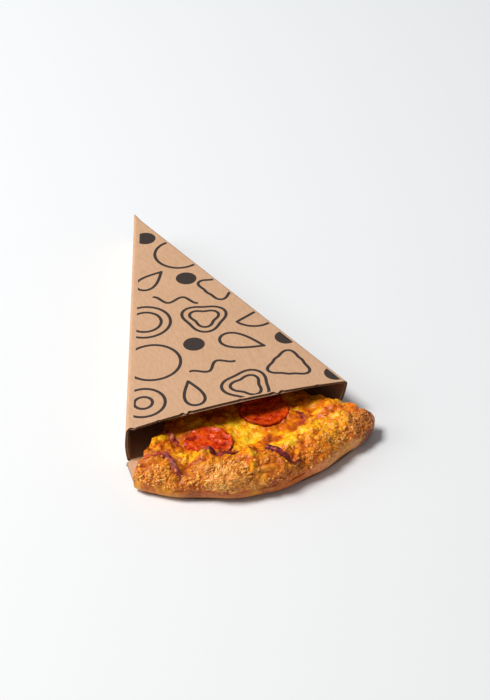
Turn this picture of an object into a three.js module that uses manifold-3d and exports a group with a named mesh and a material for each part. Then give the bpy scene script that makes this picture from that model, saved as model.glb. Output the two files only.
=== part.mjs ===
// A slice of a small round pizza, about a sixth of a 12 inch one, lying in the open-ended
// corrugated card sleeve it is served and carried in.
// The sleeve is one folded piece of card: a long triangular top and bottom panel, two low side
// walls that meet at the far point, an open wide end, and a rounded tongue of the bottom panel
// that runs out in front of the opening under the crust.
// The slice is bread dough with a puffed, lumpy rim, a thin layer of tomato sauce, melted cheese,
// round slices of pepperoni and curved strips of red onion.
// Millimetres, +Z up. The sleeve runs along Y with its point at +Y and its opening at -Y.
import * as THREE from "three";
import { mergeVertices } from "three/addons/utils/BufferGeometryUtils.js";
import Module from "manifold-3d";

const rad = THREE.MathUtils.degToRad;

// ---- driving sizes -------------------------------------------------------------------------
const GAP = 0.3; // air between pieces that lie on each other

const SLEEVE_SIDE = 245; // length of each slanted top edge
const SLEEVE_ANGLE = rad(36.1); // angle at the far point
const SLEEVE_HEIGHT = 26.7; // outside height at the folds
const CARD = 1.7; // thickness of the corrugated card
const FOLD_R = 2.4; // outside radius of the folds
const TOP_BOW = 2.4; // how far the top panel arches up at the opening
const MOUTH_RECESS = 2.6; // how far the top edge of the opening curves back at its middle
const WALL_LEAN = 6.5; // how far the right wall's foot is pushed in at the opening
const WALL_BULGE = 1.0; // how far the side walls bow out at mid height
const TONGUE_LEFT = 78.0; // how far the bottom tongue reaches to each side of the middle
const TONGUE_RIGHT = 73.5;
const TONGUE_R = 119; // radius of its front edge
const TONGUE_CENTRE = -171; // Y of that arc's centre

const TIP = [1.5, -137]; // plan position of the slice's tip
const SLICE_TURN = rad(1.0); // turn of the slice against the sleeve
const HALF_ANGLE = rad(30.8); // half of the slice's angle
const RIM_FLARE = rad(1.6); // how much wider the slice gets where it starts to rise
const END_FLARE = rad(1.7); // how much further the puffed rim bulges at each cut end
const BASE = 6.4; // dough under the topping
// tip to the outermost point of the rim, at even steps from the left cut to the right cut
const RIM_REACH = [151.5, 155.3, 157.4, 159.3, 161.6, 161.2, 158.8, 155.8, 153, 152.2, 150];
const RIM_NOSE = 17; // from the rim's crest out to its outermost point
const RIM_HEIGHT = 23.4; // top of the rim above the table
const RIM_MID = 8.6; // height of the rim's outermost point
const RAMP = 21; // length of the slope from the flat dough up to the crest, in the middle
const END_RAMP = 15; // how much longer that slope is at the cut ends
const SAUCE = 1.1;
const CHEESE = 3.3;

const PEPPERONI_R = 15.9;
const PEPPERONI_T = 2.1;
const ONION_W = 3.8;
const ONION_T = 2.0;

const SPAN = 24; // steps across the slice
const RINGS = 10; // steps from the tip to the edge of the cheese

// ---- small helpers ---------------------------------------------------------------------------
const smooth = (t) => {
  const u = Math.min(1, Math.max(0, t));
  return u * u * (3 - 2 * u);
};
const hump = (t, at, width) => Math.exp(-(((t - at) / width) ** 2));
const mix = (a, b, t) => a + (b - a) * t;

// A bag of triangles that becomes one welded BufferGeometry.
class Faces {
  constructor() {
    this.p = [];
  }
  tri(a, b, c) {
    const same = (u, v) => Math.hypot(u[0] - v[0], u[1] - v[1], u[2] - v[2]) < 1e-3;
    if (!same(a, b) && !same(b, c) && !same(a, c)) this.p.push(...a, ...b, ...c);
  }
  quad(a, b, c, d) {
    this.tri(a, b, c);
    this.tri(a, c, d);
  }
  // a grid of points, rows[i][j], seen from outside with i to the right and j up when flip is false
  grid(rows, flip = false) {
    for (let i = 0; i + 1 < rows.length; i++)
      for (let j = 0; j + 1 < rows[i].length; j++) {
        const [a, b, c, d] = [rows[i][j], rows[i + 1][j], rows[i + 1][j + 1], rows[i][j + 1]];
        if (flip) this.quad(a, d, c, b);
        else this.quad(a, b, c, d);
      }
  }
  // joins two rows of points that run the same way, lower and upper, taking the nearer step each time
  zip(lower, upper, key, flip = false) {
    let i = 0,
      j = 0;
    const put = (a, b, c) => (flip ? this.tri(a, c, b) : this.tri(a, b, c));
    while (i < lower.length - 1 || j < upper.length - 1) {
      const stepLower =
        j === upper.length - 1 ||
        (i < lower.length - 1 && key(lower[i + 1]) <= key(upper[j + 1]));
      if (stepLower) {
        put(lower[i], lower[i + 1], upper[j]);
        i++;
      } else {
        put(lower[i], upper[j + 1], upper[j]);
        j++;
      }
    }
  }
  geometry() {
    const g = new THREE.BufferGeometry();
    g.setAttribute("position", new THREE.Float32BufferAttribute(this.p, 3));
    return mergeVertices(g, 1e-3);
  }
}

const wasm = await Module();
wasm.setup();

function solid(geometry) {
  const g = geometry.clone();
  for (const name of Object.keys(g.attributes)) if (name !== "position") g.deleteAttribute(name);
  const m = mergeVertices(g, 1e-3);
  return new wasm.Manifold(
    new wasm.Mesh({
      numProp: 3,
      vertProperties: new Float32Array(m.attributes.position.array),
      triVerts: new Uint32Array(m.index.array),
    }),
  );
}

function geometryOf(made) {
  // the largest body: a cut across a thin edge can leave a crumb behind
  const bodies = made.decompose();
  const s = bodies.reduce((a, b) => (b.volume() > a.volume() ? b : a));
  const m = s.getMesh();
  const p = new Float32Array(m.numVert * 3);
  for (let i = 0; i < m.numVert; i++)
    for (let k = 0; k < 3; k++) p[i * 3 + k] = m.vertProperties[i * m.numProp + k];
  const g = new THREE.BufferGeometry();
  g.setAttribute("position", new THREE.BufferAttribute(p, 3));
  g.setIndex(new THREE.BufferAttribute(new Uint32Array(m.triVerts), 1));
  return g;
}

// ---- the card sleeve --------------------------------------------------------------------------
const MOUTH = SLEEVE_SIDE * Math.cos(SLEEVE_ANGLE / 2); // point to opening, along Y
const TAN = Math.tan(SLEEVE_ANGLE / 2);

// One cross-section of the sleeve, `back` mm from its far point, drawn `inset` mm inside the outside.
function sleeveRing(back, inset, mouth) {
  const share = back / MOUTH;
  const side = inset / Math.cos(SLEEVE_ANGLE / 2);
  const top = back * TAN - side;
  const left = -top;
  const rightFoot = top - WALL_LEAN * share;
  const r = Math.max(0.25, Math.min(FOLD_R - inset * 0.9, top * 0.8));
  const z0 = inset,
    z1 = SLEEVE_HEIGHT - inset;
  const bulge = WALL_BULGE * share * smooth(share * 2);
  const pts = [];
  const arc = (cx, cz, from) => {
    for (let k = 0; k <= 3; k++) {
      const a = from + (k / 3) * (Math.PI / 2);
      pts.push([cx + r * Math.cos(a), cz + r * Math.sin(a)]);
    }
  };
  arc(rightFoot - r, z0 + r, -Math.PI / 2);
  for (let k = 1; k < 3; k++) {
    const t = k / 3;
    pts.push([mix(rightFoot, top, t) + bulge * 4 * t * (1 - t), mix(z0 + r, z1 - r, t)]);
  }
  arc(top - r, z1 - r, 0);
  const bow = TOP_BOW * share * share;
  for (let k = 1; k < 8; k++) {
    const t = k / 8;
    const x = mix(top - r, left + r, t);
    pts.push([x, z1 + bow * 4 * t * (1 - t)]);
  }
  arc(left + r, z1 - r, Math.PI / 2);
  for (let k = 1; k < 3; k++) {
    const t = k / 3;
    pts.push([left - bulge * 4 * t * (1 - t), mix(z1 - r, z0 + r, t)]);
  }
  arc(left + r, z0 + r, Math.PI);
  return pts.map(([x, z]) => {
    const onTop = smooth((z - (SLEEVE_HEIGHT - 6)) / 4);
    const recess = mouth ? MOUTH_RECESS * onTop * Math.max(0, 1 - (x / (MOUTH * TAN)) ** 2) : 0;
    return [x, -back + recess, z];
  });
}

function sleeveGeometry() {
  const f = new Faces();
  const outerAt = [MOUTH, 214, 190, 160, 125, 90, 55, 28, 12, 5, 1.6];
  const innerAt = [MOUTH, 214, 190, 160, 125, 90, 55, 28, 15, 9];
  const skin = (stations, inset, flip) => {
    const rings = stations.map((s, i) => sleeveRing(s, inset, i === 0));
    rings.forEach((ring) => ring.push(ring[0]));
    // i runs along the sleeve, j round it
    f.grid(rings, flip);
    return rings;
  };
  const outer = skin(outerAt, 0, false);
  const inner = skin(innerAt, CARD, true);
  // the cut edge of the card round the opening
  for (let j = 0; j + 1 < outer[0].length; j++)
    f.quad(outer[0][j], outer[0][j + 1], inner[0][j + 1], inner[0][j]);
  // the closed far ends, outside and inside
  const cap = (ring, flip) => {
    const n = ring.length - 1;
    const c = [0, 0, 0];
    for (let j = 0; j < n; j++) for (let k = 0; k < 3; k++) c[k] += ring[j][k] / n;
    for (let j = 0; j < n; j++) {
      if (flip) f.tri(c, ring[j + 1], ring[j]);
      else f.tri(c, ring[j], ring[j + 1]);
    }
  };
  cap(outer[outer.length - 1], true);
  cap(inner[inner.length - 1], false);
  return f.geometry();
}

// The tongue: the bottom panel's flat front, with straight sides and a round front edge.
function tongueGeometry() {
  const s = new THREE.Shape();
  const frontY = (x) => TONGUE_CENTRE - Math.sqrt(TONGUE_R ** 2 - x ** 2);
  const inL = -(MOUTH - 6) * TAN + FOLD_R + 0.6;
  const inR = (MOUTH - 6) * TAN - WALL_LEAN - FOLD_R - 0.6;
  s.moveTo(inL, -MOUTH + 6);
  s.lineTo(inL - 1.2, -MOUTH - 0.4);
  s.lineTo(-TONGUE_LEFT + 1.2, -MOUTH - 3);
  s.lineTo(-TONGUE_LEFT, frontY(-TONGUE_LEFT) + 3);
  const a0 = -Math.acos(-TONGUE_LEFT / TONGUE_R),
    a1 = -Math.acos(TONGUE_RIGHT / TONGUE_R);
  const steps = 26;
  for (let k = 0; k <= steps; k++) {
    const a = mix(a0 + 0.03, a1 - 0.03, k / steps);
    s.lineTo(TONGUE_R * Math.cos(a), TONGUE_CENTRE + TONGUE_R * Math.sin(a));
  }
  s.lineTo(TONGUE_RIGHT, frontY(TONGUE_RIGHT) + 3);
  s.lineTo(TONGUE_RIGHT - 1.2, -MOUTH - 3);
  s.lineTo(inR + 1.2, -MOUTH - 0.4);
  s.lineTo(inR, -MOUTH + 6);
  s.closePath();
  return new THREE.ExtrudeGeometry(s, { depth: CARD, bevelEnabled: false, steps: 1 });
}

// ---- the slice --------------------------------------------------------------------------------
// s runs from -1 at the left cut to 1 at the right cut, rho is the distance from the tip.
const FLOOR = CARD + GAP; // the slice rests on the inside of the bottom panel
const flareAt = (rho) =>
  RIM_FLARE * smooth((rho - 98) / 24) + END_FLARE * smooth((rho - 136) / 13);
function plan(s, rho) {
  const t = s * (HALF_ANGLE + flareAt(rho)) + SLICE_TURN;
  return [TIP[0] + rho * Math.sin(t), TIP[1] - rho * Math.cos(t)];
}
// a smooth curve through values set at even steps from s = -1 to s = 1
function along(values, s) {
  const at = Math.min(values.length - 1, Math.max(0, ((s + 1) / 2) * (values.length - 1)));
  const i = Math.min(values.length - 2, Math.floor(at));
  const t = at - i;
  const v = (k) => values[Math.min(values.length - 1, Math.max(0, k))];
  const [a, b, c, d] = [v(i - 1), v(i), v(i + 1), v(i + 2)];
  return b + 0.5 * t * (c - a + t * (2 * a - 5 * b + 4 * c - d + t * (3 * (b - c) + d - a)));
}
const noseR = (s) => along(RIM_REACH, s) + 0.5 * Math.sin(s * 17 + 0.6);
const crestR = (s) => noseR(s) - RIM_NOSE + 1.0 * Math.sin(s * 6 + 1);
// The rim's lumps: a small one at the left end, a big one in the middle, a long low one at the right.
const crestZ = (s) =>
  RIM_HEIGHT -
  4.2 * hump(s, -0.64, 0.1) -
  3.6 * hump(s, 0.2, 0.09) -
  0.8 * hump(s, 0.62, 0.12) -
  3.2 * Math.abs(s) ** 5 -
  2.8 * smooth(s * 1.1) +
  0.4 * Math.sin(s * 13 + 2);
const rampAt = (s) => RAMP + END_RAMP * smooth((Math.abs(s) - 0.55) / 0.45);
// The cheese stops before the crest on the lumps and runs out over it in the two hollows.
const cheeseR = (s) =>
  crestR(s) -
  8.0 -
  3.2 * smooth((s - 0.45) / 0.4) +
  12 * hump(s, -0.66, 0.12) +
  14.5 * hump(s, 0.2, 0.13) +
  1.0 * Math.sin(s * 14 + 1.7);
const sauceR = (s) => cheeseR(s) + 1.4;

// Top of the dough at (s, rho).
function doughTop(s, rho) {
  const peak = crestZ(s);
  const out = (rho - crestR(s)) / (noseR(s) - crestR(s));
  if (out > 0) return mix(RIM_MID, peak, Math.sqrt(Math.max(0, 1 - out * out)) ** 0.9);
  const foot = crestR(s) - rampAt(s);
  const base = FLOOR + BASE + 0.35 * Math.sin(rho * 0.11 + s * 4) * smooth(rho / 30);
  return mix(base, peak, smooth((rho - foot) / rampAt(s)));
}
// Bumps of the melted cheese, which thins to nothing at its edge.
function cheeseThick(s, rho) {
  const [x, y] = plan(s, rho);
  const bumps =
    0.55 * Math.sin(x * 0.19 + 1.3) * Math.sin(y * 0.23 + 0.4) +
    0.35 * Math.sin(x * 0.41 - y * 0.33 + 2.1);
  const edge = smooth((cheeseR(s) - rho) / 12);
  return mix(0.5, CHEESE + bumps, edge);
}

const sAt = (i) => {
  const t = (2 * i) / SPAN - 1;
  return t * (1.12 - 0.12 * t * t); // a little closer together towards the cut sides
};
const TIP_R = 1.6;
// the lines of the shared grid: 0..RINGS to the edge of the cheese, then the edge of the sauce
function lineR(s, j) {
  if (j === RINGS + 1) return sauceR(s);
  const flat = 6;
  const foot = crestR(s) - rampAt(s);
  if (j <= flat) return mix(TIP_R, foot, (j / flat) ** 0.85);
  return mix(foot, cheeseR(s), (j - flat) / (RINGS - flat));
}
const columns = (make, last) =>
  Array.from({ length: SPAN + 1 }, (_, i) =>
    Array.from({ length: last + 1 }, (_, j) => make(sAt(i), j)),
  );

// A layer between two heights on the shared grid.
function layerGeometry(last, zLow, zHigh) {
  const at = (z) => (s, j) => {
    const rho = lineR(s, j);
    const [x, y] = plan(s, rho);
    return [x, y, z(s, rho)];
  };
  const top = columns(at(zHigh), last),
    bottom = columns(at(zLow), last);
  const f = new Faces();
  f.grid(top, true);
  f.grid(bottom, false);
  const wall = (low, high, flip) => {
    for (let k = 0; k + 1 < low.length; k++)
      if (flip) f.quad(low[k], high[k], high[k + 1], low[k + 1]);
      else f.quad(low[k], low[k + 1], high[k + 1], high[k]);
  };
  wall(bottom[0], top[0], false);
  wall(bottom[SPAN], top[SPAN], true);
  const across = (g, j) => g.map((col) => col[j]);
  wall(across(bottom, 0), across(top, 0), true);
  wall(across(bottom, last), across(top, last), false);
  return f.geometry();
}

function doughGeometry() {
  const f = new Faces();
  const top = [],
    under = [];
  for (let i = 0; i <= SPAN; i++) {
    const s = sAt(i);
    const point = (rho, z) => {
      const [x, y] = plan(s, rho);
      return [x, y, z];
    };
    const col = [];
    for (let j = 0; j <= RINGS + 1; j++) col.push(point(lineR(s, j), doughTop(s, lineR(s, j))));
    const reach = noseR(s) - crestR(s);
    const past = Math.asin(Math.max(0, (sauceR(s) - crestR(s)) / reach));
    const nearCrest = sauceR(s) > crestR(s) - 1.5;
    for (let k = 1; k <= 6; k++) {
      const a = nearCrest ? mix(past, Math.PI / 2, k / 6) : ((k - 1) / 5) * (Math.PI / 2);
      const rho = crestR(s) + reach * Math.sin(a);
      col.push(point(rho, k === 6 ? RIM_MID : doughTop(s, rho)));
    }
    top.push(col);
    const low = [col[col.length - 1]];
    for (const deg of [35, 65, 90]) {
      const a = rad(deg);
      low.push(point(noseR(s) - 8 * (1 - Math.cos(a)), mix(RIM_MID, FLOOR, Math.sin(a))));
    }
    for (const rho of [115, 70, 30, TIP_R]) low.push(point(rho, FLOOR));
    under.push(low);
  }
  f.grid(top, true);
  f.grid(under, true);
  // the tip's short edge
  for (let i = 0; i < SPAN; i++) {
    const n = under[i].length - 1;
    f.quad(under[i + 1][n], under[i][n], top[i][0], top[i + 1][0]);
  }
  // the two cut sides
  const key = (p) => Math.hypot(p[0] - TIP[0], p[1] - TIP[1]);
  const side = (i, flip) => {
    const lower = [...under[i]].reverse();
    // the crest leans out over the foot, so both rows are stepped by their share of the way
    const share = (row) => new Map(row.map((p, k) => [p, k === row.length - 1 ? 1e9 : key(p)]));
    const a = share(lower),
      b = share(top[i]);
    f.zip(lower, top[i], (p) => a.get(p) ?? b.get(p), flip);
  };
  side(0, false);
  side(SPAN, true);
  return f.geometry();
}

// ---- toppings -----------------------------------------------------------------------------------
// Inverse of plan(): which (s, rho) a plan point is at.
function locate(x, y) {
  const dx = x - TIP[0],
    dy = TIP[1] - y;
  const rho = Math.hypot(dx, dy);
  const t = Math.atan2(dx, dy) - SLICE_TURN;
  return [t / (HALF_ANGLE + flareAt(rho)), rho];
}
const CHEESE_LOW = GAP + SAUCE + GAP;
// Height of whatever lies uppermost at a plan point.
function surface(x, y) {
  const [s, rho] = locate(x, y);
  const inside = smooth((cheeseR(s) - rho) / 6);
  return doughTop(s, rho) + inside * (CHEESE_LOW + cheeseThick(s, rho));
}

// A round slice whose rim curls up a little, shaped by a lathe and then warped to lie on the cheese.
function pepperoniGeometry(cx, cy, seed, grow) {
  const R = PEPPERONI_R + grow,
    t = PEPPERONI_T;
  const lo = -grow,
    hi = t + grow;
  const profile = [
    [0, lo],
    [R * 0.45, lo],
    [R * 0.8, lo],
    [R * 0.95, lo + 0.15],
    [R, lo + 0.5],
    [R, hi - 0.4],
    [R * 0.95, hi],
    [R * 0.8, hi - 0.25],
    [R * 0.45, hi - 0.5],
    [0, hi - 0.5],
  ].map(([r, z]) => new THREE.Vector2(r, z));
  const g = new THREE.LatheGeometry(profile, 20);
  g.rotateX(Math.PI / 2); // the lathe's axis to +Z
  const p = g.attributes.position;
  // the plane under the slice, from the surface round it
  const q = 8;
  const mean = (surface(cx + q, cy) + surface(cx - q, cy) + surface(cx, cy + q) + surface(cx, cy - q)) / 4;
  const dx = (0.55 * (surface(cx + q, cy) - surface(cx - q, cy))) / (2 * q);
  const dy = (0.55 * (surface(cx, cy + q) - surface(cx, cy - q))) / (2 * q);
  for (let i = 0; i < p.count; i++) {
    const x = p.getX(i),
      y = p.getY(i),
      z = p.getZ(i);
    const r = Math.hypot(x, y) / PEPPERONI_R;
    const a = Math.atan2(y, x);
    const round = 1 + 0.025 * Math.sin(2 * a + seed) + 0.015 * Math.sin(5 * a + seed * 2);
    const curl = 0.9 * r ** 3 * (0.6 + 0.4 * Math.sin(3 * a + seed * 1.7));
    p.setXYZ(i, cx + x * round, cy + y * round, mean - 0.7 + z + curl + dx * x + dy * y);
  }
  return g;
}

// A strip of onion: an oval section drawn along a curve that lies half sunk in the surface.
function onionGeometry(path, grow) {
  const pts = path.map(([x, y, up]) => new THREE.Vector3(x, y, surface(x, y) + (up ?? 0)));
  const curve = new THREE.CatmullRomCurve3(pts, false, "centripetal");
  const section = new THREE.Shape();
  const n = 8;
  for (let k = 0; k < n; k++) {
    const a = (k / n) * Math.PI * 2;
    const x = (ONION_T / 2 + grow) * Math.cos(a),
      y = (ONION_W / 2 + grow) * Math.sin(a);
    if (k === 0) section.moveTo(x, y);
    else section.lineTo(x, y);
  }
  section.closePath();
  return new THREE.ExtrudeGeometry(section, { steps: 9, extrudePath: curve, bevelEnabled: false });
}

const PEPPERONI = {
  pepperoni_left: [-25.5, -248.4, 0.5],
  pepperoni_right: [19.6, -228.2, 2.2],
  pepperoni_inner: [-4.5, -189.5, 4.0],
};
const ONIONS = {
  onion_strip_middle: [
    [4.3, -269.6, -0.3],
    [7.7, -274.3, 0.2],
    [10.6, -281.8, 0.1],
    [16.5, -288.2, -0.1],
    [24.2, -286.4, -0.3],
  ],
  onion_strip_left: [
    [-71.5, -257, -0.3],
    [-66, -255.3, 0.2],
    [-59.8, -257.2, 0.2],
    [-56, -265, 0],
    [-54, -276.5, -0.2],
  ],
  onion_strip_near: [
    [-37, -258, -0.5],
    [-29, -265.6, 0],
    [-18, -267.2, 0.1],
    [-7, -265, -0.3],
  ],
  onion_strip_right: [
    [34.5, -233.2, -0.4],
    [39.2, -238, 0.2],
    [41.8, -243, 0.2],
    [39.6, -248.6, 0],
    [35, -253.6, -0.4],
  ],
  onion_strip_far: [
    [-48.6, -228.4, -0.4],
    [-46.6, -234, 0.1],
    [-44.8, -239.6, 0.1],
    [-44, -246, -0.4],
  ],
};

// ---- the finished pieces ------------------------------------------------------------------------
const finish = (color, roughness) =>
  new THREE.MeshStandardMaterial({ color: new THREE.Color(color), roughness, metalness: 0 });
const CARD_LOOK = finish("#c39a76", 0.85);
const CRUST_LOOK = finish("#d3883f", 0.7);
const SAUCE_LOOK = finish("#a8371c", 0.45);
const CHEESE_LOOK = finish("#efa623", 0.4);
const PEPPERONI_LOOK = finish("#cf3d17", 0.35);
const ONION_LOOK = finish("#6d2038", 0.45);

const bottomOf = (offset) => (s, rho) => doughTop(s, rho) + offset;
let dough = solid(doughGeometry());
let sauce = solid(layerGeometry(RINGS + 1, bottomOf(GAP), (s, rho) =>
  doughTop(s, rho) + GAP + mix(0.5, SAUCE, smooth((sauceR(s) - rho) / 2.6))));
let cheese = solid(layerGeometry(RINGS, bottomOf(CHEESE_LOW), (s, rho) =>
  doughTop(s, rho) + CHEESE_LOW + cheeseThick(s, rho)));

const toppings = [];
for (const [name, [x, y, seed]] of Object.entries(PEPPERONI)) {
  toppings.push({
    name,
    look: PEPPERONI_LOOK,
    body: solid(pepperoniGeometry(x, y, seed, 0)),
    room: solid(pepperoniGeometry(x, y, seed, GAP)),
  });
}
for (const [name, path] of Object.entries(ONIONS)) {
  // the ends of the room reach a little further than the strip's own ends
  const stretch = path.map((p) => [...p]);
  for (const [end, next] of [
    [0, 1],
    [path.length - 1, path.length - 2],
  ]) {
    const [dx, dy] = [path[end][0] - path[next][0], path[end][1] - path[next][1]];
    const l = Math.hypot(dx, dy);
    stretch[end] = [path[end][0] + (dx / l) * 0.6, path[end][1] + (dy / l) * 0.6, path[end][2]];
  }
  toppings.push({
    name,
    look: ONION_LOOK,
    body: solid(onionGeometry(path, 0)),
    room: solid(onionGeometry(stretch, GAP * 1.3)),
  });
}
for (const t of toppings) {
  dough = dough.subtract(t.room);
  sauce = sauce.subtract(t.room);
  cheese = cheese.subtract(t.room);
}
// an onion strip that meets a pepperoni slice lies against it
for (const t of toppings)
  if (t.name.startsWith("onion"))
    for (const u of toppings)
      if (u.name.startsWith("pepperoni")) t.body = t.body.subtract(u.room);

const sleeve = solid(sleeveGeometry()).add(solid(tongueGeometry()));

const slice = new THREE.Group();
const add = (name, made, look) => {
  const mesh = new THREE.Mesh(geometryOf(made), look);
  mesh.name = name;
  mesh.geometry.computeVertexNormals();
  slice.add(mesh);
};
add("card_sleeve", sleeve, CARD_LOOK);
add("dough_crust", dough, CRUST_LOOK);
add("tomato_sauce", sauce, SAUCE_LOOK);
add("melted_cheese", cheese, CHEESE_LOOK);
for (const t of toppings) add(t.name, t.body, t.look);

// the frame's origin: under the middle of the whole, on the table
const box = new THREE.Box3().setFromObject(slice);
slice.position.set(-(box.min.x + box.max.x) / 2, -(box.min.y + box.max.y) / 2, -box.min.z);
const part = new THREE.Group();
part.add(slice);

export default part;
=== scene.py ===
"""A slice of pizza lying in its open-ended card sleeve, seen from above the crust.

Everything is worked out in millimetres in the sleeve's own plan (its far point at 0, 0 and its
opening at -Y) and put into the frame's metres by one shift.
"""

import itertools
import math

import bpy
import numpy as np
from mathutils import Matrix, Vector
from mathutils.bvhtree import BVHTree
from mathutils.geometry import delaunay_2d_cdt


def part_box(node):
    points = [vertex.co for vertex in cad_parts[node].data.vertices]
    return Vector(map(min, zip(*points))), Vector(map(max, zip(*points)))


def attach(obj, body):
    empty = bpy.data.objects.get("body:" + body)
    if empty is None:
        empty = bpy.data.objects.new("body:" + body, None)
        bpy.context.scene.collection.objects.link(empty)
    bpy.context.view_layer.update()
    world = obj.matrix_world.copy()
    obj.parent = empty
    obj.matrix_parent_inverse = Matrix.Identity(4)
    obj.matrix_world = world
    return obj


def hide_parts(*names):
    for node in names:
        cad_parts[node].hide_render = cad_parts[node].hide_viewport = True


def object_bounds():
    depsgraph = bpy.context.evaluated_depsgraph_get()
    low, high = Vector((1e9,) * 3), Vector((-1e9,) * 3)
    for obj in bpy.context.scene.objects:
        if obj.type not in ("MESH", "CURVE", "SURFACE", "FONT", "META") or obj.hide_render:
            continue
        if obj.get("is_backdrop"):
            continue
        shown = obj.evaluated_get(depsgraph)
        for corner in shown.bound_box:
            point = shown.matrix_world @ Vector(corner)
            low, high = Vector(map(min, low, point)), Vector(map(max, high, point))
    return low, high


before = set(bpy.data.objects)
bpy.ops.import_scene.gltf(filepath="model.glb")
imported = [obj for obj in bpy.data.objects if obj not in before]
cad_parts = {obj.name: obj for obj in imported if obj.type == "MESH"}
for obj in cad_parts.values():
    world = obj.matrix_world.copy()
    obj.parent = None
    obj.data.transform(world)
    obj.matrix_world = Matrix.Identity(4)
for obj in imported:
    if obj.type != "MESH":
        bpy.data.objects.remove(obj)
CAD_BOX = [list(v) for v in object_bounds()]
ROOT = "root"

# ------------------------------------------------------------------ sizes, as the solids have them
SLEEVE_SIDE, SLEEVE_ANGLE, SLEEVE_HEIGHT = 245.0, math.radians(36.1), 26.7
CARD, FOLD_R, TOP_BOW, MOUTH_RECESS = 1.7, 2.4, 2.4, 2.6
WALL_LEAN, WALL_BULGE = 6.5, 1.0
TONGUE_LEFT, TONGUE_RIGHT, TONGUE_R, TONGUE_CENTRE = 78.0, 73.5, 119.0, -171.0
MOUTH = SLEEVE_SIDE * math.cos(SLEEVE_ANGLE / 2)
TAN = math.tan(SLEEVE_ANGLE / 2)
TIP = np.array([1.5, -137.0])
SLICE_TURN, HALF_ANGLE = math.radians(1.0), math.radians(30.8)
RIM_FLARE, END_FLARE = math.radians(1.6), math.radians(1.7)
BASE = 6.4
RIM_REACH = [151.5, 155.3, 157.4, 159.3, 161.6, 161.2, 158.8, 155.8, 153, 152.2, 150]
RIM_NOSE, RIM_HEIGHT, RIM_MID, RAMP, END_RAMP = 17.0, 23.4, 8.6, 21.0, 15.0
SAUCE, CHEESE, GAP = 1.1, 3.3, 0.3
FLOOR = CARD + GAP
PEPPERONI_R, PEPPERONI_T = 15.9, 2.1
TIP_R = 1.6
UNDERCUT = 3.7

# the solids' origin is under the middle of their box: the sleeve's far end tells where that is
_lo, _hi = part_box("card_sleeve")
SHIFT = np.array([3.04292, -1.6 - _hi.y * 1000.0, 0.0])


def metres(p):
    return (np.asarray(p, float) - SHIFT) * 0.001


# ------------------------------------------------------------------ fields in numpy
def smooth(t):
    t = np.clip(t, 0.0, 1.0)
    return t * t * (3 - 2 * t)


def hump(t, at, width):
    return np.exp(-(((t - at) / width) ** 2))


def mix(a, b, t):
    return a + (b - a) * t


_tables = {}


def tables(seed):
    if seed not in _tables:
        rng = np.random.default_rng(1000 + seed)
        perm = rng.permutation(256)
        grad = rng.normal(size=(256, 3))
        grad /= np.linalg.norm(grad, axis=1)[:, None]
        _tables[seed] = np.concatenate([perm, perm, perm]), grad, rng.random((256, 3))
    return _tables[seed]


def perlin(p, seed=0):
    """Smooth noise from about -1 to 1 at points p, one cell per unit."""
    perm, grad, _ = tables(seed)
    cell = np.floor(p).astype(np.int64)
    f = p - cell
    cell &= 255
    u = f**3 * (f * (f * 6 - 15) + 10)

    def corner(dx, dy, dz):
        h = perm[perm[perm[(cell[:, 0] + dx) & 255] + ((cell[:, 1] + dy) & 255)] + ((cell[:, 2] + dz) & 255)]
        return (grad[h] * (f - np.array([dx, dy, dz]))).sum(1)

    x0 = mix(corner(0, 0, 0), corner(1, 0, 0), u[:, 0])
    x1 = mix(corner(0, 1, 0), corner(1, 1, 0), u[:, 0])
    x2 = mix(corner(0, 0, 1), corner(1, 0, 1), u[:, 0])
    x3 = mix(corner(0, 1, 1), corner(1, 1, 1), u[:, 0])
    return 1.6 * mix(mix(x0, x1, u[:, 1]), mix(x2, x3, u[:, 1]), u[:, 2])


def fbm(p, octaves=3, seed=0, gain=0.5):
    total, size = np.zeros(len(p)), 1.0
    for k in range(octaves):
        total += size * perlin(p * 2.03**k + 17.3 * k, seed + k)
        size *= gain
    return total


def worley(p, seed=0, jitter=0.9):
    """Distance to the nearest of the points scattered one per cell, and a random number for it."""
    perm, _, rand = tables(seed)
    cell = np.floor(p).astype(np.int64)
    f = p - cell
    best, who = np.full(len(p), 9.0), np.zeros(len(p))
    for d in itertools.product((-1, 0, 1), repeat=3):
        c = (cell + d) & 255
        h = perm[perm[perm[c[:, 0]] + c[:, 1]] + c[:, 2]]
        r = rand[h]
        dist = np.linalg.norm(np.array(d) + 0.5 + (r - 0.5) * jitter - f, axis=1)
        near = dist < best
        best[near], who[near] = dist[near], r[near, 0]
    return best, who


# ------------------------------------------------------------------ the slice's shape
def along(values, s):
    values = np.asarray(values, float)
    at = np.clip((np.asarray(s, float) + 1) / 2, 0, 1) * (len(values) - 1)
    i = np.minimum(len(values) - 2, np.floor(at).astype(int))
    t = at - i
    v = lambda k: values[np.clip(k, 0, len(values) - 1)]
    a, b, c, d = v(i - 1), v(i), v(i + 1), v(i + 2)
    return b + 0.5 * t * (c - a + t * (2 * a - 5 * b + 4 * c - d + t * (3 * (b - c) + d - a)))


def flare(rho):
    return RIM_FLARE * smooth((rho - 98) / 24) + END_FLARE * smooth((rho - 136) / 13)


def plan(s, rho):
    t = s * (HALF_ANGLE + flare(rho)) + SLICE_TURN
    return TIP[0] + rho * np.sin(t), TIP[1] - rho * np.cos(t)


def locate(x, y):
    dx, dy = x - TIP[0], TIP[1] - y
    rho = np.hypot(dx, dy)
    return (np.arctan2(dx, dy) - SLICE_TURN) / (HALF_ANGLE + flare(rho)), rho


def rim_reach(s):
    return along(RIM_REACH, s) + 0.5 * np.sin(s * 17 + 0.6)


def nose_r(s):
    return rim_reach(s) - (3.5 - 1.3 * smooth(s / 0.5)) * (1 - np.clip(s * s, 0, 1) ** 2)


def crest_r(s):
    return rim_reach(s) - RIM_NOSE + 1.0 * np.sin(s * 6 + 1)


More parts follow.
